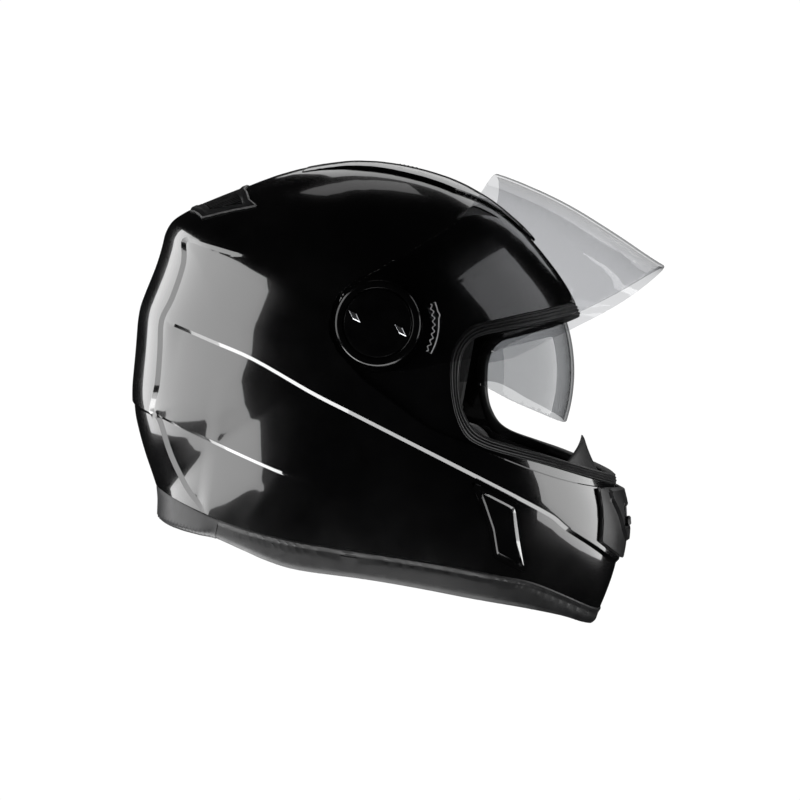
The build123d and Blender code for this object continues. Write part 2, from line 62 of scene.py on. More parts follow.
def radius(phi):
    t = (np.asarray(phi, float) % 360.0) / 3.0
    i = np.floor(t).astype(int)
    f = t - i
    p0, p1, p2, p3 = [RT[(i + k) % 120] for k in (-1, 0, 1, 2)]
    return p1 + 0.5 * f * (p2 - p0 + f * (2 * p0 - 5 * p1 + 4 * p2 - p3 + f * (3 * (p1 - p2) + p3 - p0)))


def rnd(phi):
    return 2.32 - 0.14 * np.cos(np.radians(phi))


def surf(y, z, d=0.0):
    """Half width of the skin at a point of the side view."""
    a, b = -(np.asarray(y, float) - BY), np.asarray(z, float) - BZ
    phi = np.degrees(np.arctan2(b, a))
    rho = np.clip(np.hypot(a, b) / (radius(phi) + d), 0, 1)
    return (W + d) * np.clip(1 - rho ** rnd(phi), 0, 1) ** (1 / SE)


def skin_point(phi, th):
    """phi round the side outline in degrees, th from 0 (side pole) to pi/2 (middle plane)."""
    phi, th = np.asarray(phi, float), np.asarray(th, float)
    rho = np.sin(th) ** (2.0 / rnd(phi))
    x = W * np.clip(np.cos(th), 0, 1) ** (2.0 / SE) + 0 * rho
    r = radius(phi) * rho
    a = np.radians(phi)
    return np.stack([x, BY - r * np.cos(a), BZ + r * np.sin(a)], -1)


def smooth(a, b, v):
    t = np.clip((v - a) / (b - a), 0, 1)
    return t * t * (3 - 2 * t)


def poly_dist(P, poly, closed=True):
    """Signed distance in the plane (inside positive) to a closed polygon, or plain distance to an open line."""
    P = np.asarray(P, float)
    A = np.array(poly, float)
    B = np.roll(A, -1, 0) if closed else A[1:]
    A = A if closed else A[:-1]
    best = np.full(len(P), 1e9)
    ins = np.zeros(len(P), bool)
    for a, b in zip(A, B):
        e = b - a
        L = max(e @ e, 1e-12)
        w = P - a
        t = np.clip((w @ e) / L, 0, 1)
        d = np.hypot(w[:, 0] - t * e[0], w[:, 1] - t * e[1])
        best = np.minimum(best, d)
        if closed:
            c = (a[1] > P[:, 1]) != (b[1] > P[:, 1])
            with np.errstate(divide="ignore", invalid="ignore"):
                xi = a[0] + (P[:, 1] - a[1]) * (b[0] - a[0]) / (b[1] - a[1])
            ins ^= c & (P[:, 0] < xi)
    return np.where(ins, best, -best) if closed else best


def line_side(P, line):
    """Signed distance to an open line that runs with growing first coordinate; positive above it."""
    L = np.array(line, float)
    h = np.interp(P[:, 0], L[:, 0], L[:, 1])
    d = poly_dist(P, line, closed=False)
    return np.where(P[:, 1] > h, d, -d)


def spl(pts, n=6, closed=False):
    """Catmull-Rom through points, n per span."""
    P = [np.array(p, float) for p in pts]
    m = len(P)
    out = []
    for i in range(m if closed else m - 1):
        if closed:
            q = [P[(i + k) % m] for k in (-1, 0, 1, 2)]
        else:
            q = [P[max(0, i - 1)], P[i], P[i + 1], P[min(m - 1, i + 2)]]
        for j in range(n):
            f = j / n
            out.append(q[1] + 0.5 * f * (q[2] - q[0] + f * (2 * q[0] - 5 * q[1] + 4 * q[2] - q[3] + f * (3 * (q[1] - q[2]) + q[3] - q[0]))))
    if not closed:
        out.append(P[-1])
    return [tuple(p) for p in out]


# ------------------------------------------------------------------ triangle mesh tools
class Tri:
    """Triangles with one base point, one outward normal and any number of values per vertex."""

    def __init__(self, P, N, F):
        self.P, self.N, self.F = P, N, F

    def split(self, val, keep=None, eps=0.12):
        """Cuts the triangles along val = 0. keep=1 or -1 drops the other side."""
        val = val.copy()
        val[np.abs(val) < eps] = 0.0
        s = np.sign(val)
        F = self.F
        fs = s[F]
        cross = (fs.min(1) < 0) & (fs.max(1) > 0)
        plain = F[~cross]
        newP, newN, cache, tris = [], [], {}, []
        base = len(self.P)

        def mid(i, j):
            k = (min(i, j), max(i, j))
            if k not in cache:
                t = val[i] / (val[i] - val[j])
                newP.append(self.P[i] + t * (self.P[j] - self.P[i]))
                n = self.N[i] + t * (self.N[j] - self.N[i])
                newN.append(n / np.linalg.norm(n))
                cache[k] = base + len(newP) - 1
            return cache[k]

        for f in F[cross]:
            f = list(f)
            sv = [s[k] for k in f]
            if 0 in sv:
                while s[f[0]] != 0:
                    f = f[1:] + f[:1]
                m = mid(f[1], f[2])
                tris += [(f[0], f[1], m), (f[0], m, f[2])]
            else:
                lone = [k for k in range(3) if sv[k] != sv[(k + 1) % 3] and sv[k] != sv[(k + 2) % 3]][0]
                a, b, c = f[lone], f[(lone + 1) % 3], f[(lone + 2) % 3]
                mab, mac = mid(a, b), mid(a, c)
                tris += [(a, mab, mac), (mab, b, c), (mab, c, mac)]
        P = np.vstack([self.P, np.array(newP).reshape(-1, 3)])
        N = np.vstack([self.N, np.array(newN).reshape(-1, 3)])
        v2 = np.concatenate([val, np.zeros(len(newP))])
        G = np.vstack([plain, np.array(tris, int).reshape(-1, 3)]) if tris else plain
        if keep:
            fv = v2[G]
            G = G[(keep * fv).max(1) > 0]
            G = G[(keep * v2[G]).min(1) >= 0]
        out = Tri(P, N, G)
        return out.tidy()

    def tidy(self):
        used = np.unique(self.F)
        m = -np.ones(len(self.P), int)
        m[used] = np.arange(len(used))
        return Tri(self.P[used], self.N[used], m[self.F])

    def side(self):
        return self.P[:, 1:3]

    def top(self):
        return self.P[:, 0:2]

    def front(self):
        return self.P[:, [0, 2]]

    def edges(self):
        """Boundary edges, directed as in their face."""
        E = np.vstack([self.F[:, [0, 1]], self.F[:, [1, 2]], self.F[:, [2, 0]]])
        key = np.sort(E, 1)
        u, idx, cnt = np.unique(key, axis=0, return_index=True, return_counts=True)
        return E[idx[cnt == 1]]


def base_mesh(nphi=520, nth=150):
    ph = np.arange(nphi) * 360.0 / nphi
    th = np.linspace(0, math.pi / 2, nth + 1)[1:]
    th = np.concatenate([[0.012], th])
    G = skin_point(ph[None, :], th[:, None])
    rows = len(th)
    e = 1e-3
    Gp = skin_point(ph[None, :] + e * 40, th[:, None])
    tt = np.minimum(th[:, None], math.pi / 2 - 2e-3)
    Ga = skin_point(ph[None, :], tt - e)
    Gb = skin_point(ph[None, :], tt + e)
    N = np.cross(Gb - Ga, Gp - skin_point(ph[None, :], th[:, None]))
    N /= np.linalg.norm(N, axis=-1, keepdims=True)
    C = np.array([0.0, BY, BZ])
    flip = ((G - C) * N).sum(-1) < 0
    N[flip] *= -1
    N[-1, :, 0] = 0
    N[-1] /= np.linalg.norm(N[-1], axis=-1, keepdims=True)
    # right side (x < 0) is the mirror image
    idx = np.arange(rows * nphi).reshape(rows, nphi)
    P1, N1 = G.reshape(-1, 3), N.reshape(-1, 3)
    pole = np.array([[W, BY, BZ]])
    polen = np.array([[1.0, 0, 0]])
    F = []
    a, b = idx[:-1], np.roll(idx[:-1], -1, 1)
    c, d = np.roll(idx[1:], -1, 1), idx[1:]
    q1 = np.stack([a, b, c], -1).reshape(-1, 3)
    q2 = np.stack([a, c, d], -1).reshape(-1, 3)
    F = np.vstack([q1, q2])
    cap = np.stack([np.full(nphi, rows * nphi), np.roll(idx[0], -1), idx[0]], -1)
    F = np.vstack([F, cap])
    Pl = np.vstack([P1, pole])
    Nl = np.vstack([N1, polen])
    # orient outward
    t = Pl[F]
    fn = np.cross(t[:, 1] - t[:, 0], t[:, 2] - t[:, 0])
    bad = (fn * Nl[F].mean(1)).sum(1) < 0
    F[bad] = F[bad][:, ::-1]
    n = len(Pl)
    last = idx[-1]
    mir = np.arange(n) + n
    mir[last] = last
    Pr = Pl * [-1, 1, 1]
    Nr = Nl * [-1, 1, 1]
    F2 = mir[F][:, ::-1]
    return Tri(np.vstack([Pl, Pr]), np.vstack([Nl, Nr]), np.vstack([F, F2])).tidy()


MM = 0.001


def to_row(P):
    P = np.asarray(P, float).reshape(-1, 3)
    return (P - [0, Y_MID, 0]) * MM


def make(name, P, F, mat, body="shell", smooth_angle=32.0, replaces=(), flat=False):
    """Mesh object from mm points in the shell frame."""
    me = bpy.data.meshes.new(name)
    me.from_pydata([tuple(p) for p in to_row(P)], [], [tuple(int(k) for k in f) for f in F])
    me.validate()
    me.update()
    o = bpy.data.objects.new(name, me)
    bpy.context.scene.collection.objects.link(o)
    me.materials.append(mat)
    if not flat:
        me.polygons.foreach_set("use_smooth", [True] * len(me.polygons))
        me.set_sharp_from_angle(angle=math.radians(smooth_angle))
    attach(o, body)
    if replaces:
        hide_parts(*replaces)
    return o


def panel(tri, top, bot):
    """Closed panel between two offsets (arrays or numbers) along the normals. Returns points and faces."""
    n = len(tri.P)
    A = tri.P + tri.N * np.reshape(np.broadcast_to(top, n), (n, 1))
    B = tri.P + tri.N * np.reshape(np.broadcast_to(bot, n), (n, 1))
    E = tri.edges()
    walls = np.vstack([np.stack([E[:, 1], E[:, 0], E[:, 0] + n], -1), np.stack([E[:, 1], E[:, 0] + n, E[:, 1] + n], -1)])
    F = np.vstack([tri.F, tri.F[:, ::-1] + n, walls])
    return np.vstack([A, B]), F


def swing(P, ang, y0=PY, z0=PZ):
    """Raises the front by ang about the X axis through (y0, z0)."""
    P = np.array(P, float)
    f, h = -(P[:, 1] - y0), P[:, 2] - z0
    c, s = math.cos(ang), math.sin(ang)
    P[:, 1], P[:, 2] = y0 - (f * c - h * s), z0 + (f * s + h * c)
    return P


def lathe_x(prof, y, z, n=96, side=1):
    """Surface of revolution about X; prof is a list of (x, r)."""
    P, F = [], []
    m = len(prof)
    for i in range(n):
        a = 2 * math.pi * i / n
        for x, r in prof:
            P.append((side * x, y + r * math.cos(a), z + r * math.sin(a)))
    for i in range(n):
        for j in range(m - 1):
            a, b = i * m + j, i * m + j + 1
            c, d = ((i + 1) % n) * m + j + 1, ((i + 1) % n) * m + j
            F.append((a, b, c, d) if side > 0 else (d, c, b, a))
    return np.array(P), F


# ------------------------------------------------------------------ materials
def node(nt, kind, loc=(0, 0), **kw):
    n = nt.nodes.new(kind)
    n.location = loc
    for k, v in kw.items():
        if k in n.inputs:
            n.inputs[k].default_value = v
        else:
            setattr(n, k, v)
    return n


def material(name, color, rough=0.4, metallic=0.0, coat=0.0, coat_rough=0.03, bump=(), color2=None, mix_scale=40.0,
             rough_var=0.0, rough_scale=60.0, spec=0.5, sheen=0.0, trans=0.0, ior=1.5, weave=None, mix_lo=0.35, mix_hi=0.65):
    m = bpy.data.materials.new(name)
    m.use_nodes = True
    nt = m.node_tree
    p = nt.nodes["Principled BSDF"]
    p.inputs["Base Color"].default_value = (*color, 1)
    p.inputs["Roughness"].default_value = rough
    p.inputs["Metallic"].default_value = metallic
    p.inputs["Coat Weight"].default_value = coat
    p.inputs["Coat Roughness"].default_value = coat_rough
    p.inputs["Specular IOR Level"].default_value = spec
    p.inputs["Sheen Weight"].default_value = sheen
    p.inputs["Sheen Roughness"].default_value = 0.5
    p.inputs["Transmission Weight"].default_value = trans
    p.inputs["IOR"].default_value = ior
    tc = nt.nodes.new("ShaderNodeTexCoord")
    L = nt.links.new
    if color2 is not None:
        nz = node(nt, "ShaderNodeTexNoise", Scale=mix_scale, Detail=6.0, Roughness=0.6)
        L(tc.outputs["Object"], nz.inputs["Vector"])
        mr = node(nt, "ShaderNodeMapRange")
        mr.inputs["From Min"].default_value = mix_lo
        mr.inputs["From Max"].default_value = mix_hi
        L(nz.outputs["Fac"], mr.inputs["Value"])
        mx = nt.nodes.new("ShaderNodeMix")
        mx.data_type = "RGBA"
        mx.inputs["A"].default_value = (*color, 1)
        mx.inputs["B"].default_value = (*color2, 1)
        L(mr.outputs["Result"], mx.inputs["Factor"])
        L(mx.outputs["Result"], p.inputs["Base Color"])
    if rough_var:
        nz = node(nt, "ShaderNodeTexNoise", Scale=rough_scale, Detail=8.0, Roughness=0.65)
        L(tc.outputs["Object"], nz.inputs["Vector"])
        mr = node(nt, "ShaderNodeMapRange")
        mr.inputs["From Min"].default_value = 0.3
        mr.inputs["From Max"].default_value = 0.7
        mr.inputs["To Min"].default_value = max(0.0, rough - rough_var)
        mr.inputs["To Max"].default_value = min(1.0, rough + rough_var)
        L(nz.outputs["Fac"], mr.inputs["Value"])
        L(mr.outputs["Result"], p.inputs["Roughness"])
    prev = None
    for kind, scale, strength, dist in bump:
        if kind == "noise":
            t = node(nt, "ShaderNodeTexNoise", Scale=scale, Detail=5.0, Roughness=0.6)
            out = t.outputs["Fac"]
        elif kind == "voronoi":
            t = node(nt, "ShaderNodeTexVoronoi", Scale=scale)
            out = t.outputs["Distance"]
        elif kind == "weave":
            # two crossed sets of threads
            wx = node(nt, "ShaderNodeTexWave", Scale=scale, Distortion=0.3)
            wx.bands_direction = "DIAGONAL"
            wy = node(nt, "ShaderNodeTexWave", Scale=scale, Distortion=0.3)
            wy.bands_direction = "Z"
            L(tc.outputs["Object"], wx.inputs["Vector"])
            L(tc.outputs["Object"], wy.inputs["Vector"])
            mm = node(nt, "ShaderNodeMath", operation="MULTIPLY")
            L(wx.outputs["Fac"], mm.inputs[0])
            L(wy.outputs["Fac"], mm.inputs[1])
            out = mm.outputs[0]
            t = None
        if t is not None:
            L(tc.outputs["Object"], t.inputs["Vector"])
        b = node(nt, "ShaderNodeBump", Strength=strength, Distance=dist)
        L(out, b.inputs["Height"])
        if prev:
            L(prev.outputs["Normal"], b.inputs["Normal"])
        prev = b
    if prev:
        L(prev.outputs["Normal"], p.inputs["Normal"])
    return m


M_GLOSS = material("gloss_black_lacquer", (0.0007, 0.0007, 0.0008), rough=0.2, coat=1.0, coat_rough=0.035, color2=(0.0016, 0.0016, 0.0018),
                   mix_scale=18, rough_var=0.05, rough_scale=25, bump=[("noise", 320.0, 0.010, 0.0006)])
M_GLOSS.node_tree.nodes["Principled BSDF"].inputs["Coat IOR"].default_value = 1.75
M_SATIN = material("satin_black_plastic", (0.006, 0.006, 0.0065), rough=0.36, color2=(0.010, 0.010, 0.0105), mix_scale=60,
                   rough_var=0.07, rough_scale=120, bump=[("noise", 1500.0, 0.12, 0.0003)])
M_RUBBER = material("ribbed_rubber", (0.0085, 0.0085, 0.009), rough=0.5, color2=(0.014, 0.014, 0.0145), mix_scale=90,
                    rough_var=0.08, rough_scale=160, bump=[("noise", 900.0, 0.2, 0.0003)])
M_TRIM = material("matt_rim_rubber", (0.0040, 0.0040, 0.0044), rough=0.42, color2=(0.0075, 0.0075, 0.008), mix_scale=50,
                  rough_var=0.08, rough_scale=90, bump=[("noise", 1200.0, 0.18, 0.0003)])
M_CLOTH = material("liner_cloth", (0.011, 0.011, 0.012), rough=0.9, color2=(0.022, 0.022, 0.024), mix_scale=240, sheen=0.25,
                   rough_var=0.05, bump=[("weave", 420.0, 0.5, 0.0005), ("noise", 60.0, 0.2, 0.002)])
M_MESHCLOTH = material("air_mesh_cloth", (0.008, 0.008, 0.009), rough=0.85, color2=(0.05, 0.05, 0.052), mix_scale=700, sheen=0.2,
                       bump=[("voronoi", 620.0, 0.8, 0.0008)])
M_FOAM = material("black_foam_bead", (0.012, 0.012, 0.012), rough=0.75, color2=(0.022, 0.022, 0.022), mix_scale=160,
                  bump=[("voronoi", 260.0, 0.45, 0.0008)])
M_STEEL = material("brushed_steel", (0.42, 0.42, 0.43), rough=0.32, metallic=1.0, color2=(0.52, 0.52, 0.53), mix_scale=120,
                   rough_var=0.09, rough_scale=300, bump=[("noise", 1400.0, 0.1, 0.0002)])
M_SILVER = material("silver_inlay", (0.50, 0.51, 0.53), rough=0.28, metallic=1.0, color2=(0.62, 0.63, 0.65), mix_scale=150,
                    rough_var=0.06, bump=[("noise", 1600.0, 0.06, 0.0002)])
M_WEB = material("strap_webbing", (0.012, 0.012, 0.013), rough=0.8, color2=(0.024, 0.024, 0.026), mix_scale=300, sheen=0.2,
                 bump=[("weave", 300.0, 0.9, 0.0008)])
M_PAD = material("gloss_cover", (0.0010, 0.0010, 0.0011), rough=0.13, color2=(0.002, 0.002, 0.0021), mix_scale=80,
                 rough_var=0.06, rough_scale=150, bump=[("noise", 1300.0, 0.08, 0.0003)])
M_GRILLE = material("dark_grille", (0.004, 0.004, 0.004), rough=0.5, color2=(0.09, 0.09, 0.09), mix_scale=850,
                    bump=[("voronoi", 700.0, 0.9, 0.0008)])


def glass(name, color, rough):
    """Thin clear plastic: tinted see-through with a gloss on its outer faces."""
    m = bpy.data.materials.new(name)
    m.use_nodes = True
    nt = m.node_tree
    nt.nodes.clear()
    L = nt.links.new
    out = nt.nodes.new("ShaderNodeOutputMaterial")
    mix = nt.nodes.new("ShaderNodeMixShader")
    tr = nt.nodes.new("ShaderNodeBsdfTransparent")
    gl = nt.nodes.new("ShaderNodeBsdfAnisotropic")
    tc = nt.nodes.new("ShaderNodeTexCoord")
    nz = node(nt, "ShaderNodeTexNoise", Scale=14.0, Detail=4.0)
    L(tc.outputs["Object"], nz.inputs["Vector"])
    mx = nt.nodes.new("ShaderNodeMix")
    mx.data_type = "RGBA"
    mx.inputs["A"].default_value = (*color, 1)
    mx.inputs["B"].default_value = (*[c * 0.985 for c in color], 1)
    L(nz.outputs["Fac"], mx.inputs["Factor"])
    L(mx.outputs["Result"], tr.inputs["Color"])
    mr = node(nt, "ShaderNodeMapRange")
    mr.inputs["To Min"].default_value = rough
    mr.inputs["To Max"].default_value = rough + 0.03
    L(nz.outputs["Fac"], mr.inputs["Value"])
    L(mr.outputs["Result"], gl.inputs["Roughness"])
    gl.inputs["Color"].default_value = (1, 1, 1, 1)
    fr = node(nt, "ShaderNodeFresnel", IOR=1.42)
    ge = nt.nodes.new("ShaderNodeNewGeometry")
    inv = node(nt, "ShaderNodeMath", operation="SUBTRACT")
    inv.inputs[0].default_value = 1.0
    L(ge.outputs["Backfacing"], inv.inputs[1])
    mul = node(nt, "ShaderNodeMath", operation="MULTIPLY")
    L(fr.outputs[0], mul.inputs[0])
    L(inv.outputs[0], mul.inputs[1])
    L(mul.outputs[0], mix.inputs[0])
    L(tr.outputs[0], mix.inputs[1])
    L(gl.outputs[0], mix.inputs[2])
    L(mix.outputs[0], out.inputs[0])
    return m


M_CLEAR = glass("clear_polycarbonate", (0.845, 0.848, 0.855), 0.02)
M_SMOKE = glass("smoke_polycarbonate", (0.74, 0.745, 0.75), 0.03)
M_VINYL = material("soft_vinyl", (0.010, 0.010, 0.011), rough=0.38, color2=(0.016, 0.016, 0.017), mix_scale=70, rough_var=0.06,
                   rough_scale=110, bump=[("noise", 700.0, 0.12, 0.0003)])
# light grey for the visor racks: a painted highlight standing in for the bright outline of their clear plastic edges,
# not a colour the plastic has
M_RACK_HIGHLIGHT = material("rack_painted_highlight", (0.30, 0.30, 0.31), rough=0.25, color2=(0.36, 0.36, 0.37), mix_scale=200, rough_var=0.05,
                  bump=[("noise", 900.0, 0.05, 0.0002)])

# ------------------------------------------------------------------ outlines (side view unless said otherwise)
PORT_OUT = [(-104.8, 210.6), (-96.9, 206.5), (-87.2, 201.1), (-75.4, 195.6),
            (-64.2, 190.3), (-50.5, 184), (-44.7, 178.3), (-41.2, 171.1), (-39.5, 163.7),
            (-39.8, 155.4), (-41.6, 146.1), (-45.3, 133.8), (-50.7, 122), (-58.1, 112.4),
            (-67.7, 108.3), (-80.8, 106.2), (-113.3, 103.4), (-144.7, 98.6), (-156, 95.5)]
PORT_IN = [(-108.5, 202.6), (-88.4, 192.6), (-68.6, 183.7), (-54.4, 176.9),
           (-48.5, 169.8), (-46.5, 161), (-47.2, 150.2), (-49.8, 137.9), (-54.2, 127.7),
           (-62, 118.9), (-72.9, 114.5), (-92.2, 112.1), (-112, 109.9), (-143.3, 105), (-154, 102.8)]
port_out = spl(PORT_OUT, 5) + [(-200, 93), (-200, 217), (-130, 215.5)]
port_in = spl(PORT_IN, 5) + [(-200, 101), (-200, 205), (-130, 204.5)]
VISOR_LOW = [(38.7, 170.8), (37.2, 163), (33.5, 157.2), (28, 150.5), (20.6, 144), (11.5, 137.3), (-1, 131.2),
             (-14, 124.6), (-26, 118.6), (-37, 114.4), (-58.7, 109.8), (-81, 105.2), (-107, 99.9),
             (-129, 96.9), (-154.6, 95.6)]
VISOR_TOP = [(-106.4, 214.8), (-89.7, 203.6), (-74.7, 197.2), (-61.7, 195.3),
             (-40, 196.2), (-23.9, 198.4), (-0.7, 200.8), (6.4, 201.6), (14.3, 201.2), (19.6, 199.4),
             (26.5, 195.8), (31.3, 191.4), (34.6, 186), (37.6, 179.4), (38.7, 170.8)]
visor_poly = spl(VISOR_LOW, 5)[:-1] + [(-154.6, 95.6), (-190, 95.2), (-190, 262.9)] + spl(VISOR_TOP, 5)[:-1]
recess_low = [(y + (1.4 if y > 30 else 0), z - 1.4) for y, z in VISOR_LOW]
recess_poly = spl(recess_low, 5) + [(-200, 94), (-200, 150), (-60, 150), (-20, 190), (20, 199), (33, 191), (39.5, 180)]
TRIM_LINE = [(-200, 6), (-165, 10.5), (-158, 13), (-137.4, 21), (-115.5, 27), (-94.2, 28.2), (-62.5, 29),
             (-30.3, 28.5), (2, 27.2), (40.1, 25.6), (79.7, 27), (109.3, 31), (143.9, 36.5), (200, 46)]
trim_line = spl(TRIM_LINE, 5)
RIM_LINE = spl([(-200, 0.0), (-163, 0.4), (-152.7, 2.7), (-137.2, 7), (-111.6, 9.3), (-81, 9.8), (-44.9, 10.4), (-8.5, 9.6), (33.4, 6.9), (55, 8.6),
                (72.5, 12.0), (92, 15.4), (105, 15.6), (119, 15.2), (140, 16.0), (157, 21), (200, 34)], 4)

BASE = base_mesh()


# ------------------------------------------------------------------ outer shell
def sorted_line(pts):
    return sorted(pts, key=lambda p: p[0])


CREASE1 = spl(sorted_line([(150, 148.5), (145.5, 147.9), (115, 142.6), (84.8, 136.5), (44, 123), (15, 114.7), (-12.9, 106.6),
                           (-45.3, 97.1), (-73.2, 88.6), (-100.7, 79.8), (-121, 72.3), (-131, 66.0), (-150.9, 56.1),
                           (-167.4, 45.5), (-180, 38)]), 4)
CREASE2 = spl(sorted_line([(200, 94), (172.5, 89.7), (116.5, 80.7), (60, 69.5), (40, 66.9), (0, 61), (-60, 52)]), 4)
REAR = spl([(112, 201.0), (134, 203.2), (153.7, 204.5), (150.8, 188.5), (153.7, 164.5), (158.7, 148.3), (156, 128.7),
            (153.7, 105.7), (156, 87), (149, 81.7), (136.8, 61), (122, 43.5), (106.6, 31.6), (98, 22)], 4)
rear_poly = REAR + [(98, -50), (320, -50), (320, 320), (60, 320), (60, 201.0)]
SIDE_VENT = [(-66.2, 85.4), (-80, 81), (-93, 76.8), (-97, 75.2), (-98.9, 72.3), (-105, 53), (-111.5, 34.1), (-110, 32.6),
             (-99, 36), (-88.5, 39.6), (-83, 56), (-75, 71)]
TOP_MESH = [(52.5, -30), (80.5, -21.8), (39.5, -48.5)]
EXH_IN = [(30, 153), (58, 141), (68, 119), (40, 130), (0, 134), (-40, 130), (-68, 119), (-58, 141), (-30, 153), (0, 158)]
EXH_OUT = [(38.4, 158.6), (66.3, 144.2), (78.2, 106.8), (66.3, 115), (40, 124), (0, 128), (-40, 124), (-66.3, 115),
           (-78.2, 106.8), (-66.3, 144.2), (-38.4, 158.6), (0, 164)]


def shrink(poly, k):
    c = np.mean(np.array(poly, float), 0)
    return [tuple(c + (np.array(p) - c) * k) for p in poly]


def v_crease1(t):
    return line_side(t.side(), CREASE1)


def v_crease2(t):
    return line_side(t.side(), CREASE2)


def v_rear(t):
    return poly_dist(t.side(), rear_poly)


def relief(t):
    """Creases and the raised rear band, as an offset along the normal."""
    s1, s2, sr = v_crease1(t), v_crease2(t), v_rear(t)
    y = t.P[:, 1]
    d = np.zeros(len(t.P))
    w1 = 2.4
    a1 = 1.5 * (1 - smooth(140, 155, y))
    d += np.where(s1 < 0, -a1 * np.minimum(1, -s1 / w1) * np.exp(np.minimum(0, s1 + w1) / 22.0), 0)
    a2 = 1.3 * smooth(30, 75, y)
    d += np.where(s2 < 0, -a2 * np.minimum(1, -s2 / 2.2) * np.exp(np.minimum(0, s2 + 2.2) / 20.0), 0)
    ar = 1.9 * smooth(98, 130, y)
    ar = np.where(t.P[:, 2] < 120, 1.9 * smooth(100, 112, y), ar)
    d += np.where(sr < 0, -ar * np.minimum(1, -sr / 2.4) * np.exp(np.minimum(0, sr + 2.4) / 26.0), 0)
    return d


def snap(t, fun, lv, eps=0.45):
    """Moves vertices close to the line fun = lv exactly onto it, along the skin."""
    val = fun(t) - lv
    near = np.nonzero((np.abs(val) < eps) & (np.abs(t.P[:, 0]) > 6))[0]
    if not len(near):
        return t
    sub = Tri(t.P[near].copy(), t.N[near], None)
    g = []
    for k in (1, 2):
        q = Tri(sub.P.copy(), sub.N, None)
        q.P[:, k] += 0.05
        g.append((fun(q) - fun(sub)) / 0.05)
    g = np.stack(g, -1)
    g2 = np.maximum((g ** 2).sum(1), 0.2)
    ok = (g ** 2).sum(1) > 0.5
    step = -(val[near] / g2)[:, None] * g
    P2 = sub.P.copy()
    P2[:, 1:3] += np.where(ok[:, None], step, 0)
    sx = surf(P2[:, 1], P2[:, 2])
    good = ok & (sx > 5)
    P2[:, 0] = np.where(good, np.sign(sub.P[:, 0]) * sx, sub.P[:, 0])
    P = t.P.copy()
    P[near[good]] = P2[good]
    return Tri(P, t.N, t.F)


def with_cuts(t, fun, levels):
    for lv in levels:
        t = snap(t, fun, lv)
        t = t.split(fun(t) - lv, eps=0.06)
    return t


shell = BASE
shell = shell.split(-poly_dist(shell.side(), port_out), keep=1)
shell = shell.split(line_side(shell.side(), trim_line), keep=1)
shell = shell.split(np.hypot(shell.P[:, 1] - PY, shell.P[:, 2] - PZ) - 31.5, keep=1)
shell = shell.split(-poly_dist(shell.side(), SIDE_VENT), keep=1)
up = lambda t, poly: np.where(t.P[:, 2] > 170, poly_dist(t.top(), poly), -50.0)
for m_ in (1, -1):
    tri_ = [(m_ * x, y) for x, y in TOP_MESH]
    shell = shell.split(-up(shell, tri_), keep=1)
shell = shell.split(-up(shell, EXH_IN), keep=1)
slot_v = lambda t: np.where(t.P[:, 1] < -100, poly_dist(t.front(), [(-24, 69), (24, 69), (24, 82), (-24, 82)]), -50.0)
shell = shell.split(-slot_v(shell), keep=1)
shell = with_cuts(shell, v_crease1, (0, -2.4))
shell = with_cuts(shell, v_crease2, (0, -2.2))
shell = with_cuts(shell, v_rear, (0, -2.4))
v_rec = lambda t: poly_dist(t.side(), recess_poly)
shell = with_cuts(shell, v_rec, (-0.7, 0))


def with_step(t, val, depth_in, d_all, chamfer=0.3, thick=4.0):
    """The skin with the part where val > 0 sunk by depth_in, a crisp wall between, closed by an inner skin."""
    n = len(t.P)
    on = np.abs(val) < 0.02
    fin = np.where(np.abs(val) < 0.02, 0, val)[t.F].sum(1) > 0
    dup = {}
    extra = []
    F = t.F.copy()
    for fi in np.nonzero(fin)[0]:
        for k in range(3):
            v = F[fi, k]
            if on[v]:
                if v not in dup:
                    dup[v] = n + len(extra)
                    extra.append(v)
                F[fi, k] = dup[v]
    extra = np.array(extra, int)
    idx = np.concatenate([np.arange(n), extra])
    d = d_all[idx].copy()
    inside = np.concatenate([val >= 0.02, np.ones(len(extra), bool)])
    d[inside] -= depth_in[idx][inside]
    edge = np.concatenate([on, np.zeros(len(extra), bool)])
    d[edge & ~inside] -= chamfer
    top = t.P[idx] + t.N[idx] * d[:, None]
    top[inside, 0] = np.clip(top[inside, 0], -119.2, 119.2)
    # walls along the step
    ein = {}
    for f in t.F[fin]:
        for a, b in ((f[0], f[1]), (f[1], f[2]), (f[2], f[0])):
            if on[a] and on[b]:
                ein[(a, b)] = 1
    walls = []
    for f in t.F[~fin]:
        for a, b in ((f[0], f[1]), (f[1], f[2]), (f[2], f[0])):
            if on[a] and on[b] and (b, a) in ein:
                walls += [(b, a, dup[a]), (b, dup[a], dup[b])]
    m = len(idx)
    bot = t.P + t.N * (-thick)
    bot[:, 0] = np.clip(bot[:, 0], -117.0, 117.0)
    E = t.edges()
    lift = np.arange(m)
    rim = []
    for a, b in E:
        ta, tb = a, b
        if a in dup and val[b] > 0:
            ta = dup[a]
        if b in dup and val[a] > 0:
            tb = dup[b]
        rim += [(tb, ta, a + m), (tb, a + m, b + m)]
    P = np.vstack([top, bot])
    FF = [tuple(f) for f in F] + walls + [tuple(f[::-1] + m) for f in t.F] + rim
    return P, FF


low_d = poly_dist(shell.side(), spl(recess_low, 5), closed=False)
depth = 1.5 * (1 - smooth(3, 42, low_d))
P, F = with_step(shell, v_rec(shell), depth, relief(shell))
n0 = len(P)
for s in (1, -1):
    Q, G = lathe_x([(118.2, 33.5), (118.2, 12.0)], PY, PZ, 96, 1)
    Q = Q * [s, 1, 1]
    F += [tuple(np.array(g if s > 0 else g[::-1]) + len(P)) for g in G]
    P = np.vstack([P, Q])
shell_o = make("shell_lacquered", P, F, M_GLOSS, replaces=["outer_shell"], smooth_angle=17)


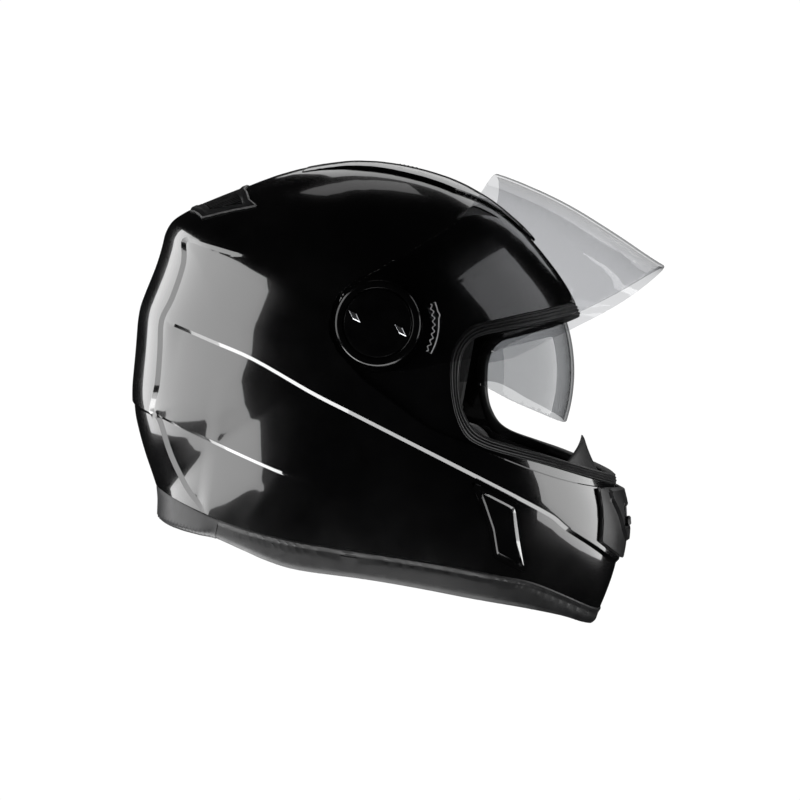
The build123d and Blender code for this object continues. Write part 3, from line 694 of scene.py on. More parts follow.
# ------------------------------------------------------------------ panels that follow the skin
def skin_panel(name, val, top, bot, mat, cham=0.5, body="shell", replaces=(), src=None, extra_cuts=(), angle=24, extra=None):
    t = src or BASE
    t = t.split(val(t), keep=1)
    if cham:
        t = t.split(val(t) - cham * 1.3)
    for fun, lv in extra_cuts:
        t = t.split(fun(t) - lv)
    v = val(t)
    d = np.full(len(t.P), float(top)) if extra is None else top + extra(t)
    d = d - np.where(v < cham * 0.6, cham, 0) if cham else d
    P, F = panel(t, d, bot)
    return make(name, P, F, mat, body=body, replaces=replaces, smooth_angle=angle)


front_of = lambda t, poly: np.where(t.P[:, 1] < -90, poly_dist(t.front(), poly), -50.0)
side_of = lambda t, poly, s: np.where(s * t.P[:, 0] > 0, poly_dist(t.side(), poly), -50.0)

# bottom trim
v_trim = lambda t: -line_side(t.side(), trim_line)
v_rim = lambda t: line_side(t.side(), RIM_LINE)
tb = BASE.split(v_trim(BASE), keep=1)
tb = tb.split(v_rim(tb), keep=1)
roll_src = tb
tb = tb.split(92.0 - tb.P[:, 1], keep=1)
tb = with_cuts(tb, v_trim, (0.8, 3.0, 4.2))
tb = with_cuts(tb, v_rim, (0.8, 2.0, 3.5))
vt, vr = v_trim(tb), v_rim(tb)
d = np.full(len(tb.P), 0.45)
d -= np.where(vt < 0.5, 0.5, 0) + 0.35 * ((vt > 2.9) & (vt < 4.3))
d -= 1.3 * (1 - np.clip(vr / 3.5, 0, 1)) ** 2
P, F = panel(tb, d, -7.0)
P[:, 2] = np.maximum(P[:, 2], 0.0)
make("bottom_trim_ring", P, F, M_TRIM, replaces=["bottom_trim"], smooth_angle=28)

# neck roll
tr = roll_src.split(roll_src.P[:, 1] - 92.4, keep=1)
tr = with_cuts(tr, v_trim, (1.2,))
vt, vr = v_trim(tr), v_rim(tr)
tot = np.maximum(vt + vr, 1e-3)
u = np.clip(vt / tot, 0, 1)
puff = np.sqrt(np.clip(1 - (2 * u - 1) ** 2, 0, 1))
ends = smooth(92, 104, tr.P[:, 1])
d = -0.6 + (0.6 + 4.2 * ends) * u ** 1.15 * (1 - 0.55 * smooth(0.86, 1.0, u)) + 0.7 * puff - 0.6 * (vt < 1.0)
P, F = panel(tr, d, -19.0 + 3 * (1 - puff))
roll = make("neck_roll_cloth", P, F, M_VINYL, replaces=["neck_roll"], smooth_angle=80)

# chin vent: housing, mesh and sliding shutter
CHIN_HOUSING = [(-56.6, 93.2), (-56.4, 89.3), (-55.6, 79), (-55, 68.1), (-53.8, 59.2), (-40, 54.4), (-20, 49.6), (0, 48.0),
                (20, 49.6), (40, 54.4), (53.8, 59.2), (55, 68.1), (55.6, 79), (56.4, 89.3), (56.6, 93.2), (40, 94.0), (-40, 94.0)]
BEAK = [(-45, 92.6), (-43.5, 86), (-34, 76.5), (-26, 67), (-12, 59.5), (12, 59.5), (26, 67), (34, 76.5), (43.5, 86), (45, 92.6), (30, 93.4),
        (-30, 93.4)]
CHIN_SLOT = [(-23.5, 69.5), (23.5, 69.5), (22, 81.5), (-22, 81.5)]
in_slot = lambda t: front_of(t, CHIN_SLOT)
v_house = lambda t: np.minimum(front_of(t, CHIN_HOUSING), -in_slot(t))
t = BASE.split(v_house(BASE), keep=1)
t = t.split(v_house(t) - 0.8)
for lv in (0.0, 1.6):
    t = t.split(front_of(t, BEAK) - lv)
v = v_house(t)
vb = front_of(t, BEAK)
d = 2.6 - np.where(v < 0.4, 0.7, 0) + 2.0 * np.clip(vb / 1.6, 0, 1) + 0.5 * smooth(1.6, 14, vb)
d = np.where(in_slot(t) > -2.0, d - 0.5 * (1 - np.clip(-in_slot(t) / 2.0, 0, 1)), d)
P, F = panel(t, d, 0.3)
make("chin_vent_cover", P, F, M_SATIN, replaces=["chin_vent_housing"], smooth_angle=22)
skin_panel("chin_vent_gauze", lambda t: front_of(t, [(-23.6, 69.3), (23.6, 69.3), (23.6, 81.7), (-23.6, 81.7)]), -0.6, -2.4, M_GRILLE,
           cham=0, replaces=["chin_vent_mesh"])
v_sl = lambda t: front_of(t, [(-8.8, 69.8), (8.8, 69.8), (8.8, 75.0), (-8.8, 75.0)])
skin_panel("chin_vent_shutter", v_sl, 5.0, 0.6, M_SATIN, cham=0.6, body="chin_vent_slider",
           replaces=["chin_vent_slider"], extra=lambda t: 0.5 * np.cos(t.P[:, 0] * 2.4))

# top vent: raised centre band, two mesh windows, sliding shutter
TOP_HOUSING = [(40, 104), (45, 88), (48.6, 52), (49.6, 20), (49.2, -5), (48.2, -15), (39.6, -28.6), (29.7, -42.8), (20.4, -58),
               (10, -66.5), (0, -69.2), (-10, -66.5), (-20.4, -58), (-29.7, -42.8), (-39.6, -28.6), (-48.2, -15),
               (-49.2, -5), (-49.6, 20), (-48.6, 52), (-45, 88), (-40, 104)]
TOP_HOUSING = TOP_HOUSING[1:-1]
TOP_SLOT = [(-9.5, 14), (9.5, 14), (9.5, 42), (-9.5, 42)]
v_top = lambda t: np.minimum(up(t, TOP_HOUSING), -up(t, TOP_SLOT))
v_tin = lambda t: up(t, TOP_HOUSING)
t = BASE.split(v_top(BASE), keep=1)
for lv in (0.7, 9.0, 11.0):
    t = t.split((v_top(t) if lv < 1 else v_tin(t)) - lv)
v = v_top(t)
fade = 1 - smooth(40, 88, t.P[:, 1])
d = 0.45 + (1.75 - 0.7 * smooth(9.0, 11.0, v_tin(t))) * fade - np.where(v < 0.35, 0.18 + 0.5 * fade, 0)
P, F = panel(t, d, 0.25)
make("top_vent_band", P, F, M_GLOSS, replaces=["top_vent_housing"], smooth_angle=20)
ts_ = lambda t: up(t, [(-8.6, 14.8), (8.6, 14.8), (8.6, 30.4), (-8.6, 30.4)])
skin_panel("top_vent_shutter", ts_, 1.5, 0.6, M_SATIN, cham=0.5, body="top_vent_slider", replaces=["top_vent_slider"],
           extra=lambda t: 0.35 * np.cos(t.P[:, 1] * 2.2))
tm_ = lambda t: np.maximum(up(t, shrink(TOP_MESH, 0.97)), up(t, [(-x, y) for x, y in shrink(TOP_MESH, 0.97)]))
skin_panel("top_vent_gauze", tm_, -1.0, -2.4, M_GRILLE, cham=0, replaces=["top_vent_mesh"])

# rear exhaust: a low block with a lip at its lower edge and a slatted grille
ex_sd = lambda t: up(t, EXH_OUT)
v_ex = lambda t: np.minimum(ex_sd(t), -up(t, EXH_IN))
t = BASE.split(v_ex(BASE), keep=1)
for lv in (0.8, 3.2, 4.4):
    t = t.split(ex_sd(t) - lv)
v = ex_sd(t)
d = 0.7 - np.where(v < 0.6, 0.4, 0) + 0.6 * (1 - smooth(3.2, 4.4, v))
d = np.where(v_ex(t) < 0.3, np.minimum(d, 0.5), d)
P, F = panel(t, d, 0.25)
make("rear_exhaust_rim", P, F, M_SATIN, replaces=["rear_exhaust_frame"], smooth_angle=24)
v_exg = lambda t: up(t, shrink(EXH_IN, 0.975))
t = BASE.split(v_exg(BASE), keep=1)
for k in range(-22, 23):
    x0 = k * 3.1
    t = t.split(t.P[:, 0] - x0 + 0.75, eps=0.04)
    t = t.split(t.P[:, 0] - x0 - 0.75, eps=0.04)
sl = np.abs((t.P[:, 0] + 1.55) % 3.1 - 1.55) < 0.8
P, F = panel(t, np.where(sl, 0.6, -0.9), -1.9)
make("rear_exhaust_slats", P, F, M_SATIN, replaces=["rear_exhaust_grille"], smooth_angle=25)

# side vents: sunk insert with a light lip at its front edge
for s, nm in ((1, "left"), (-1, "right")):
    v_sv = lambda t, s=s: side_of(t, shrink(SIDE_VENT, 0.985), s)
    t = snap(BASE, v_sv, 0.0).split(v_sv(BASE) * 0 + v_sv(snap(BASE, v_sv, 0.0)), keep=1, eps=0.06)
    t = with_cuts(t, v_sv, (2.2, 3.6))
    v = v_sv(t)
    d = 0.25 - 1.9 * np.clip((v - 2.2) / 1.4, 0, 1)
    P, F = panel(t, d, -3.2)
    make("side_vent_insert_" + nm, P, F, M_GLOSS, replaces=["side_vent_" + nm], smooth_angle=24)

# ------------------------------------------------------------------ eye port gasket, a ribbed rubber lip swept round the opening
def port_loop(line, n):
    """Points (x, y, z) along a side view line from the middle plane at the top, back along the left side, to the bottom."""
    L = np.array(line, float)
    s = np.concatenate([[0], np.cumsum(np.hypot(*np.diff(L, axis=0).T))])
    fine = np.linspace(0, s[-1], 6000)
    yz = np.stack([np.interp(fine, s, L[:, 0]), np.interp(fine, s, L[:, 1])], -1)
    x = surf(yz[:, 0], yz[:, 1])
    on = np.nonzero(x > 0.0)[0]
    a, b = on[0], on[-1]
    yz, x = yz[a:b + 1], x[a:b + 1]
    x[0] = x[-1] = 0
    Q = np.stack([x, yz[:, 0], yz[:, 1]], -1)
    s = np.concatenate([[0], np.cumsum(np.linalg.norm(np.diff(Q, axis=0), axis=1))])
    f = np.linspace(0, s[-1], n)
    return np.stack([np.interp(f, s, Q[:, k]) for k in range(3)], -1)


ext_out = [(-130, 215.5)] + spl(PORT_OUT, 5) + [(-175, 92)]
ext_in = [(-135, 204.8)] + spl(PORT_IN, 5) + [(-180, 101)]
NL = 300
Lo, Li = port_loop(ext_out, NL), port_loop(ext_in, NL)
mirror = lambda A: np.vstack([A, (A * [-1, 1, 1])[::-1][1:-1]])
Lo, Li = mirror(Lo), mirror(Li)
n = len(Lo)
prof = []
for k in range(33):
    w = k / 32.0
    h = 0.5 + 0.35 * math.sin(w * math.pi) + 0.5 * math.cos(w * 2 * math.pi * 4.0)
    if w < 0.06:
        h -= 0.8 * (1 - w / 0.06)
    if w > 0.9:
        h -= 2.2 * ((w - 0.9) / 0.1) ** 2
    prof.append((w, h - 0.7))
prof += [(1.02, -3.4), (1.0, -5.8), (0.9, -6.5), (0.2, -6.3), (0.02, -5.5)]
cross = Li - Lo
along = np.roll(Lo, -1, 0) - np.roll(Lo, 1, 0)
nn_ = np.cross(along, cross)
nn_ /= np.linalg.norm(nn_, axis=1, keepdims=True)
C0 = np.array([0, 60.0, 150.0])
nn_[((Lo - C0) * nn_).sum(1) < 0] *= -1
for _ in range(6):
    nn_ = np.roll(nn_, 1, 0) * 0.25 + nn_ * 0.5 + np.roll(nn_, -1, 0) * 0.25
nn_ /= np.linalg.norm(nn_, axis=1, keepdims=True)
P, F = [], []
m = len(prof)
for i in range(n):
    for w, h in prof:
        q = Lo[i] + cross[i] * (0.02 + 0.98 * w)
        yy, zz = q[1], q[2]
        P.append(q + nn_[i] * h)
for i in range(n):
    for j in range(m):
        a, b = i * m + j, i * m + (j + 1) % m
        c, e = ((i + 1) % n) * m + (j + 1) % m, ((i + 1) % n) * m + j
        F.append((a, b, c, e))
gk = make("eye_port_seal", np.array(P), F, M_RUBBER, replaces=["eye_port_gasket"], smooth_angle=60)

# ------------------------------------------------------------------ visor
v_vis = lambda t: poly_dist(t.side(), visor_poly)
t = BASE.split(v_vis(BASE), keep=1)
t = t.split(np.hypot(t.P[:, 1] - PY, t.P[:, 2] - PZ) - 16.2, keep=1)
t = t.split(v_vis(t) - 0.7)
v = v_vis(t)
top = t.P + t.N * (3.3 - np.where(v < 0.3, 0.45, 0))[:, None]
bot = t.P + t.N * 1.4
top[:, 0] = np.clip(top[:, 0], -123.3, 123.3)
bot[:, 0] = np.clip(bot[:, 0], -121.3, 121.3)
nv = len(t.P)
E = t.edges()
walls = np.vstack([np.stack([E[:, 1], E[:, 0], E[:, 0] + nv], -1), np.stack([E[:, 1], E[:, 0] + nv, E[:, 1] + nv], -1)])
F = np.vstack([t.F, t.F[:, ::-1] + nv, walls])
P = swing(np.vstack([top, bot]), OPEN)
visor_o = make("visor_clear", P, F, M_CLEAR, body="visor", replaces=["visor"], smooth_angle=30)

# detent racks moulded on the visor, just outside the covers: a wavy edge and a plain one. They are drawn as thin light
# grey loops, a painted highlight for the bright outline that the clear plastic edges catch
for s in (1, -1):
    P, F = [], []
    loop = []
    n_ = 90
    for i in range(n_ + 1):
        f = i / n_
        loop.append((35.4 + 0.75 * math.sin(f * 2 * math.pi * 7.5), 197 + 50 * f))
    for i in range(n_ + 1):
        f = 1 - i / n_
        loop.append((38.6 + 0.9 * math.exp(-((f - 0.25) / 0.05) ** 2), 197 + 50 * f))
    m_ = len(loop)
    for r_, a_ in loop:
        a = math.radians(a_)
        for rr, xx in ((r_ + 0.32, 121.2), (r_ + 0.32, 123.75), (r_ - 0.32, 123.75), (r_ - 0.32, 121.2)):
            P.append((s * xx, PY + rr * math.cos(a), PZ + rr * math.sin(a)))
    for i in range(m_):
        for j in range(4):
            a_, b_ = i * 4 + j, i * 4 + (j + 1) % 4
            c_, d_ = ((i + 1) % m_) * 4 + (j + 1) % 4, ((i + 1) % m_) * 4 + j
            F.append((a_, b_, c_, d_))
    P = swing(np.array(P), OPEN)
    make("visor_rack_%s" % ("left" if s > 0 else "right"), P, F, M_RACK_HIGHLIGHT, body="visor")

# ------------------------------------------------------------------ pivot covers
for s, nm in ((1, "left"), (-1, "right")):
    x0 = 123.7
    prof = [(x0, 0.5), (x0, 27.0), (x0 + 0.4, 27.5), (x0 + 0.9, 27.5), (x0 + 1.5, 27.35), (x0 + 2.0, 27.0), (x0 + 2.35, 26.5),
            (x0 + 2.55, 25.9), (x0 + 2.6, 25.2), (x0 + 2.65, 22.9),
            (x0 + 2.5, 22.6), (x0 + 1.9, 22.4), (x0 + 1.9, 21.9), (x0 + 2.6, 21.7), (x0 + 3.1, 21.3), (x0 + 3.3, 20.6),
            (x0 + 3.45, 14.0), (x0 + 3.5, 8.0), (x0 + 3.5, 0.01)]
    prof = prof[::-1]
    Q, G = lathe_x(prof, PY, PZ, 128, 1)
    Q = Q * [s, 1, 1]
    G = [g if s > 0 else g[::-1] for g in G]
    # small ticks round the outer ring
    for k in range(24):
        a = 2 * math.pi * k / 24
        c_, s_ = math.cos(a), math.sin(a)
        b0 = len(Q)
        pts = []
        for xx in (x0 + 2.55, x0 + 2.95):
            for rr, ww in ((23.6, 0.28), (23.6, -0.28), (25.9, -0.28), (25.9, 0.28)):
                pts.append((s * xx, PY + rr * c_ - ww * s_, PZ + rr * s_ + ww * c_))
        Q = np.vstack([Q, np.array(pts)])
        bx = [(4, 5, 6, 7), (0, 1, 5, 4), (1, 2, 6, 5), (2, 3, 7, 6), (3, 0, 4, 7)]
        G += [tuple(b0 + i for i in (f if s > 0 else f[::-1])) for f in bx]
    make("pivot_cap_" + nm, Q, G, M_PAD, replaces=["pivot_cover_" + nm], smooth_angle=35)
P, F = [], []
for s in (1, -1):
    for k in (-1, 1):
        cy = PY + k * 15.2
        b0 = len(P)
        for xx, q in ((127.0, 1.0), (127.45, 1.0), (127.7, 0.82)):
            for al, ac in ((-5.4, 0.2), (-0.4, 1.9), (5.4, -0.2), (0.4, -1.9)):
                P.append((s * xx, cy + (0.826 * al + 0.563 * ac) * q, PZ + k * 1.7 + (0.563 * al - 0.826 * ac) * q))
        for r_ in range(2):
            for j in range(4):
                f = (b0 + r_ * 4 + j, b0 + r_ * 4 + (j + 1) % 4, b0 + r_ * 4 + 4 + (j + 1) % 4, b0 + r_ * 4 + 4 + j)
                F.append(f if s > 0 else f[::-1])
        f = (b0 + 8, b0 + 9, b0 + 10, b0 + 11)
        F.append(f if s > 0 else f[::-1])
make("pivot_cap_inlays", np.array(P), F, M_SILVER, replaces=["pivot_cover_inlays"], smooth_angle=20)

# ------------------------------------------------------------------ sun visor
SY, SZ, SR, SW, STH, SF = -0.7, 144.4, 113.6, 107.0, 2.0, 103.4
SUN_ZONE = spl([(9, 139.5), (-8, 137.4), (-30, 141.8), (-46.8, 145.8), (-53.2, 146.7), (-59.7, 146.2), (-69.8, 143.5), (-80.1, 140),
                (-96.7, 135.6), (-106.1, 133), (-112.8, 130.8)], 4) + [(-150, 128.5), (-150, 250), (-92, 219), (-62, 190), (-44, 172),
                (-20, 158), (2, 154.6), (9, 150)]


def sun_r(x):
    return SR * np.clip(1 - (np.abs(x) / SW) ** 2.6, 0, 1) ** (1 / 2.2)


xs = SW * np.sin(np.radians(np.linspace(-83, 83, 170)))
an = np.radians(np.linspace(-70, 120, 150))
X, A = np.meshgrid(xs, an)
R_ = sun_r(X)
Pg = np.stack([X, SY - R_ * np.cos(A), SZ + R_ * np.sin(A)], -1)
dr = (sun_r(X + 0.01) - sun_r(X - 0.01)) / 0.02
Ng = np.stack([-dr, -np.cos(A), np.sin(A)], -1)
Ng /= np.linalg.norm(Ng, axis=-1, keepdims=True)
ii = np.arange(X.size).reshape(X.shape)
Fg = np.vstack([np.stack([ii[:-1, :-1], ii[:-1, 1:], ii[1:, 1:]], -1).reshape(-1, 3), np.stack([ii[:-1, :-1], ii[1:, 1:], ii[1:, :-1]], -1).reshape(-1, 3)])
sv = Tri(Pg.reshape(-1, 3), Ng.reshape(-1, 3), Fg)
tt = sv.P[sv.F]
fn = np.cross(tt[:, 1] - tt[:, 0], tt[:, 2] - tt[:, 0])
bad = (fn * sv.N[sv.F].mean(1)).sum(1) < 0
sv.F[bad] = sv.F[bad][:, ::-1]
v_sun = lambda t: poly_dist(t.side(), SUN_ZONE)
sv = sv.split(v_sun(sv), keep=1)
sv = sv.split(v_sun(sv) - 0.6)
v = v_sun(sv)
top = sv.P - sv.N * np.where(v < 0.3, 0.35, 0.0)[:, None]
bot = sv.P - sv.N * STH
top[:, 0] = np.clip(top[:, 0], -SF, SF)
bot[:, 0] = np.clip(bot[:, 0], -SF + STH, SF - STH)
nv = len(sv.P)
E = sv.edges()
walls = np.vstack([np.stack([E[:, 1], E[:, 0], E[:, 0] + nv], -1), np.stack([E[:, 1], E[:, 0] + nv, E[:, 1] + nv], -1)])
F = np.vstack([sv.F, sv.F[:, ::-1] + nv, walls])
make("sun_visor_smoke", np.vstack([top, bot]), F, M_SMOKE, body="sun_visor", replaces=["sun_visor"], smooth_angle=30)

# ------------------------------------------------------------------ breath deflector
P, F = [], []
NU, NV = 61, 14
def defl_point(u, v, off):
    x = 47.0 * u
    ztop = 101.5 + 22.6 * (1 - abs(u) ** 1.55) ** 0.95
    z = 99.0 + (ztop - 99.0) * v
    k = (z - 100.0) / 26.0
    yf = -143.0 + 17.5 * k + (23.0 - 3.5 * k) * (abs(u) ** 2.0)
    return (x, yf + off + 1.2 * math.sin(math.pi * v) * (1 - u * u), z)
for off in (0.0, 2.0):
    for i in range(NU):
        for j in range(NV):
            u = -1 + 2 * i / (NU - 1)
            vv = j / (NV - 1)
            P.append(defl_point(u, vv, off + (0.5 if off == 0 and j == NV - 1 else (-0.5 if j == NV - 1 else 0))))
K = NU * NV
for i in range(NU - 1):
    for j in range(NV - 1):
        a, b, c, e = i * NV + j, (i + 1) * NV + j, (i + 1) * NV + j + 1, i * NV + j + 1
        F += [(a, b, c, e), (a + K, e + K, c + K, b + K)]
for i in range(NU - 1):
    for j in (0, NV - 1):
        a, b = i * NV + j, (i + 1) * NV + j
        F.append((a, a + K, b + K, b) if j == 0 else (a, b, b + K, a + K))
for j in range(NV - 1):
    for i in (0, NU - 1):
        a, b = i * NV + j, i * NV + j + 1
        F.append((a, b, b + K, a + K) if i == 0 else (a, a + K, b + K, b))
make("breath_guard", np.array(P), F, M_RUBBER, replaces=["breath_deflector"], smooth_angle=50)

# ------------------------------------------------------------------ comfort liner
CAVY, CAVZ, CL, CU, CW = 20.0, 150.0, 107.0, 100.0, 88.0


def cav_r(p, d):
    p = np.asarray(p, float) % 360
    c, s = np.abs(np.cos(np.radians(p))), np.abs(np.sin(np.radians(p)))
    upr = np.where(p <= 180, CU, 220.0)
    return ((c / (CL + d)) ** 2.5 + (s / (upr + d)) ** 2.5) ** -0.4


def cav_grid(d, nphi=200, nth=70):
    ph = np.arange(nphi) * 360.0 / nphi
    th = np.linspace(0.02, math.pi / 2, nth)
    rho = np.sin(th) ** (2 / 2.4)
    x = (CW + d) * np.cos(th) ** (2 / 2.4)
    r = cav_r(ph, d)[None, :] * rho[:, None]
    a = np.radians(ph)[None, :]
    return np.stack([np.broadcast_to(x[:, None], r.shape), CAVY - r * np.cos(a), CAVZ + r * np.sin(a)], -1)


G0, G1 = cav_grid(-0.6), cav_grid(-9.0)
rows, nphi = G0.shape[:2]
idx = np.arange(rows * nphi).reshape(rows, nphi)
a, b, c, e = idx[:-1], np.roll(idx[:-1], -1, 1), np.roll(idx[1:], -1, 1), idx[1:]
Fc = np.vstack([np.stack([a, b, c], -1).reshape(-1, 3), np.stack([a, c, e], -1).reshape(-1, 3)])
Fc = np.vstack([Fc, Fc[:, ::-1] + rows * nphi])
Pc = np.vstack([G0.reshape(-1, 3), G0.reshape(-1, 3) * [-1, 1, 1]])
Nc_ = G1.reshape(-1, 3) - G0.reshape(-1, 3)
Nc_ /= np.linalg.norm(Nc_, axis=1, keepdims=True)
Nc_ = np.vstack([Nc_, Nc_ * [-1, 1, 1]])
tt = Pc[Fc]
fn = np.cross(tt[:, 1] - tt[:, 0], tt[:, 2] - tt[:, 0])
bad = (fn * Nc_[Fc].mean(1)).sum(1) < 0
Fc[bad] = Fc[bad][:, ::-1]
cr = Tri(Pc, Nc_, Fc)
seamx = lambda t: np.abs(np.abs(t.P[:, 0]) - 30.0)
cr = cr.split(cr.P[:, 2] - 122.5, keep=1)
ang_ = lambda t: np.degrees(np.arctan2(t.P[:, 2] - SZ, -(t.P[:, 1] - SY)))
cr = cr.split(np.where(cr.P[:, 1] < 10, ang_(cr) - 53.0, 20.0), keep=1)
edge = np.minimum(cr.P[:, 2] - 122.5, np.where(cr.P[:, 1] < 0, (ang_(cr) - 53.0) * 1.8, 50))
seam1 = np.minimum(seamx(cr), np.abs(cr.P[:, 2] - 172.0 + 0.15 * cr.P[:, 1]))
puff = np.clip(edge / 9.0, 0, 1) ** 0.5 * np.minimum(1, 0.25 + seam1 / 7.0) ** 0.6
puff = np.nan_to_num(puff)
P, F = panel(cr, 3.5 + 5.4 * puff, 0.0)
crown = make("crown_liner", P, F, M_MESHCLOTH, replaces=["crown_pad"], smooth_angle=70)

# cheek pads: crowned cushions with a piped edge
CHEEK = spl([(-68, 39), (-69, 60), (-68.5, 88), (-62, 101), (-50, 113), (-30, 115), (20, 115), (52, 114), (57, 104), (57, 70), (56, 45),
             (48, 38.5), (10, 38), (-30, 38)], 6, closed=True)
for s, nm in ((1, "left"), (-1, "right")):
    c0 = np.array([-8.0, 78.0])
    P, F = [], []
    ring = np.array(CHEEK)
    nr = len(ring)
    K = 16
    rad_list = list(np.linspace(0.06, 1, K))
    for face in (0, 1):
        for k, q in enumerate(rad_list):
            for j in range(nr):
                yz = c0 + (ring[j] - c0) * (q if q < 0.99 else 0.995)
                edge_t = (1 - q ** 4) ** 0.5
                outer_x = min(float(surf(yz[0], yz[1])) - 6.2, 108.5)
                if face == 0:
                    seam = abs(q - 0.72)
                    x = 74.0 - 7.6 * edge_t + 1.6 * math.exp(-(seam / 0.035) ** 2) + 0.5 * noise.noise(Vector((yz[0] * 0.05, yz[1] * 0.05, s))) * edge_t
                else:
                    x = max(outer_x - 4.0 * (1 - edge_t), 76.0)
                P.append((s * x, yz[0], yz[1]))
    for face in (0, 1):
        o0 = face * K * nr
        for k in range(K - 1):
            for j in range(nr):
                a, b = o0 + k * nr + j, o0 + k * nr + (j + 1) % nr
                c, e = b + nr, a + nr
                f = (a, b, c, e)
                F.append(f if (face == 0) == (s < 0) else f[::-1])
        cap = tuple(o0 + j for j in range(nr))
        F.append(cap[::-1] if (face == 0) == (s < 0) else cap)
    for j in range(nr):
        a, b = (K - 1) * nr + j, (K - 1) * nr + (j + 1) % nr
        f = (a, b, b + K * nr, a + K * nr)
        F.append(f if s < 0 else f[::-1])
    pad = make("cheek_cushion_" + nm, np.array(P), F, M_CLOTH, replaces=["cheek_pad_" + nm], smooth_angle=75)

# ------------------------------------------------------------------ strap webbing
def ribbon(name, path, t, y0, y1, mat, replaces, mir=1):
    pts = np.array(spl(path, 8), float)
    P, F = [], []
    prof = [(0, 0.5), (0.12, 1.0), (0.5, 1.0), (0.88, 1.0), (1, 0.5), (1, -0.5), (0.88, -1), (0.5, -1), (0.12, -1), (0, -0.5)]
    m = len(prof)
    for i in range(len(pts)):
        a, b = pts[max(0, i - 1)], pts[min(len(pts) - 1, i + 1)]
        dd = (b - a) / np.linalg.norm(b - a)
        nx, nz = -dd[1], dd[0]
        for w, h in prof:
            P.append((mir * (pts[i][0] + nx * h * t / 2), y0 + (y1 - y0) * w, pts[i][1] + nz * h * t / 2))
    for i in range(len(pts) - 1):
        for j in range(m):
            a, b = i * m + j, i * m + (j + 1) % m
            f = (a, b, b + m, a + m)
            F.append(f if mir > 0 else f[::-1])
    e = (len(pts) - 1) * m
    F += [tuple(range(m))[::-1] if mir > 0 else tuple(range(m)), tuple(range(e, e + m)) if mir > 0 else tuple(range(e, e + m))[::-1]]
    return make(name, np.array(P), F, mat, replaces=replaces, smooth_angle=50)


ribbon("strap_left", [(94.6, 31), (94.6, 19), (92.4, 15.4), (87, 13.2), (75, 11.6), (60, 10.8), (45, 10.6), (37, 10.6)], 1.8, -19, 3, M_WEB,
       ["chin_strap_left"])
ribbon("strap_right", [(94.6, 31), (94.6, 19), (92.4, 15.4), (87, 13.2), (75, 11.6), (60, 10.8), (40, 10.6), (20.6, 10.6)], 1.8, -19, 3,
       M_WEB, ["chin_strap_right"], mir=-1)

# ------------------------------------------------------------------ CAD pieces that stay, with rounded edges where they are seen
def rounded(node_name, new, mat, body, width=0.0004):
    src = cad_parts[node_name]
    o = src.copy()
    o.data = src.data.copy()
    o.name = new
    o.data.name = new
    for k in list(o.keys()):
        del o[k]
    o.parent = None
    o.matrix_world = Matrix.Identity(4)
    bpy.context.scene.collection.objects.link(o)
    o.data.materials.clear()
    o.data.materials.append(mat)
    md = o.modifiers.new("weld", "WELD")
    md.merge_threshold = 0.00001
    md = o.modifiers.new("bevel", "BEVEL")
    md.width = width
    md.segments = 2
    md.limit_method = "ANGLE"
    md.angle_limit = math.radians(35)
    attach(o, body)
    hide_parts(node_name)
    return o


for nd, mt, bd, slt in (("buckle_frame", M_STEEL, "shell", "steel"), ("buckle_lever", M_STEEL, "buckle_lever", "steel"),
                        ("strap_anchor_left", M_STEEL, "shell", "steel"), ("strap_anchor_right", M_STEEL, "shell", "steel"),
                        ("sun_visor_lever", M_SATIN, "sun_visor_lever", "satin_trim")):
    rounded(nd, nd + "_finished", mt, bd)


def paint(nodes, mat):
    for nname in nodes:
        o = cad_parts[nname]
        o.data.materials.clear()
        o.data.materials.append(mat)


paint(["eps_liner", "chin_eps"], M_FOAM)
paint(["visor_base_plate_left", "visor_base_plate_right", "sun_visor_bracket_left", "sun_visor_bracket_right"], M_SATIN)
paint(["base_plate_screws", "sun_visor_pins", "strap_rivets", "buckle_tongue", "buckle_pin"], M_STEEL)

# ------------------------------------------------------------------ stage, lights, camera
TH, PSI, EPS = math.radians(10.7), math.radians(6.3), math.radians(0.5)
A_ = Vector((0, -math.cos(TH), math.sin(TH)))
B_ = Vector((0, math.sin(TH), math.cos(TH)))
C_ = Vector((-1, 0, 0))
target = Vector((0, -Y_MID, 124.2)) * MM
D = 1.8
back = (A_ * math.sin(PSI) + C_ * math.cos(PSI)) * math.cos(EPS) + B_ * math.sin(EPS)
right = A_ * math.cos(PSI) - C_ * math.sin(PSI)
upv = back.cross(right)
cam_d = bpy.data.cameras.new("camera")
cam = bpy.data.objects.new("camera", cam_d)
bpy.context.scene.collection.objects.link(cam)
rot = Matrix((right, upv, back)).transposed().to_4x4()
cam.matrix_world = Matrix.Translation(target + back * D) @ rot
cam_d.sensor_width = 36
cam_d.lens = 36 * 1800 / 544.0
bpy.context.scene.camera = cam


def emis(name, color, strength):
    m = bpy.data.materials.new(name)
    m.use_nodes = True
    nt = m.node_tree
    nt.nodes.clear()
    o = nt.nodes.new("ShaderNodeOutputMaterial")
    e = nt.nodes.new("ShaderNodeEmission")
    e.inputs["Color"].default_value = (*color, 1)
    e.inputs["Strength"].default_value = strength
    nt.links.new(e.outputs[0], o.inputs[0])
    return m


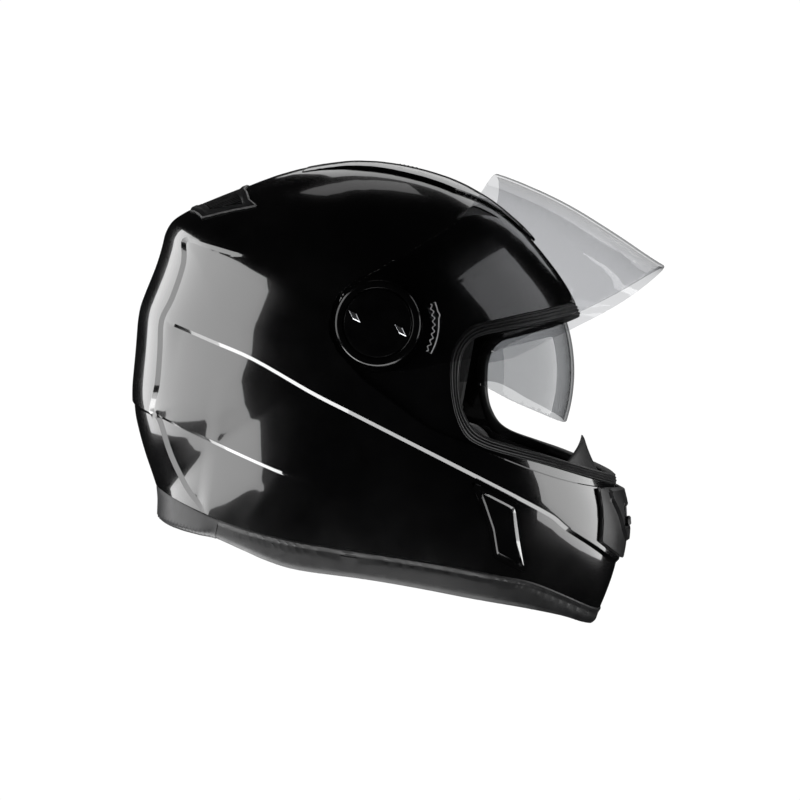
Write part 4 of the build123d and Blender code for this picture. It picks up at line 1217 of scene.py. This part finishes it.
bpy.ops.mesh.primitive_uv_sphere_add(radius=6.0, segments=64, ring_count=32, location=(0, 0, 0))
dome = bpy.context.object
dome.name = "backdrop"
dome.data.materials.append(emis("backdrop_white", (1, 1, 1), 1.02))
dome.visible_glossy = False
dome.visible_diffuse = False
dome.visible_shadow = False
bpy.ops.mesh.primitive_plane_add(size=11.0, location=(0, 0, -0.0005))
floor = bpy.context.object
floor.name = "floor"
floor.data.materials.append(emis("floor_pale", (1, 1, 1), 1.02))
floor.visible_glossy = False
floor.visible_shadow = False
floor.visible_diffuse = False

world = bpy.data.worlds.new("world")
bpy.context.scene.world = world
world.use_nodes = True
world.node_tree.nodes["Background"].inputs["Color"].default_value = (1, 1, 1, 1)
world.node_tree.nodes["Background"].inputs["Strength"].default_value = 0.004


def area(name, loc, aim, sx, sy, power, color=(1, 1, 1)):
    l = bpy.data.lights.new(name, "AREA")
    l.shape = "RECTANGLE"
    l.size, l.size_y = sx, sy
    l.energy = power
    l.color = color
    o = bpy.data.objects.new(name, l)
    bpy.context.scene.collection.objects.link(o)
    o.location = loc
    o.rotation_mode = "QUATERNION"
    o.rotation_quaternion = (Vector(aim) - Vector(loc)).to_track_quat("-Z", "Y")
    return o


HEAD = (0, 0, 0.13)


def panel_light(name, az, el, dist, w, h, radiance):
    """A soft box seen from the helmet at azimuth az (0 towards the rider's right, + to the rear) and elevation el."""
    a, e = math.radians(az), math.radians(el)
    loc = (-math.cos(a) * math.cos(e) * dist, math.sin(a) * math.cos(e) * dist, 0.13 + math.sin(e) * dist)
    return area(name, loc, HEAD, w, h, radiance * math.pi * w * h)


panel_light("rear_box", 82, 2, 2.4, 4.4, 2.5, 2.5)
panel_light("front_box", -93, 7, 2.4, 3.2, 1.5, 2.7)
panel_light("brow_box", -92, 43, 2.4, 2.6, 1.1, 1.3)
panel_light("table_bounce", 30, -76, 1.6, 2.8, 1.7, 4.0)
panel_light("far_box", 178, 35, 2.4, 1.6, 1.2, 0.8)
panel_light("rear_bounce", 84, -52, 1.7, 1.7, 0.85, 3.6)
panel_light("crown_strip", 150, 60, 2.4, 1.2, 0.5, 0.45)
bpy.context.scene.view_settings.view_transform = "Standard"
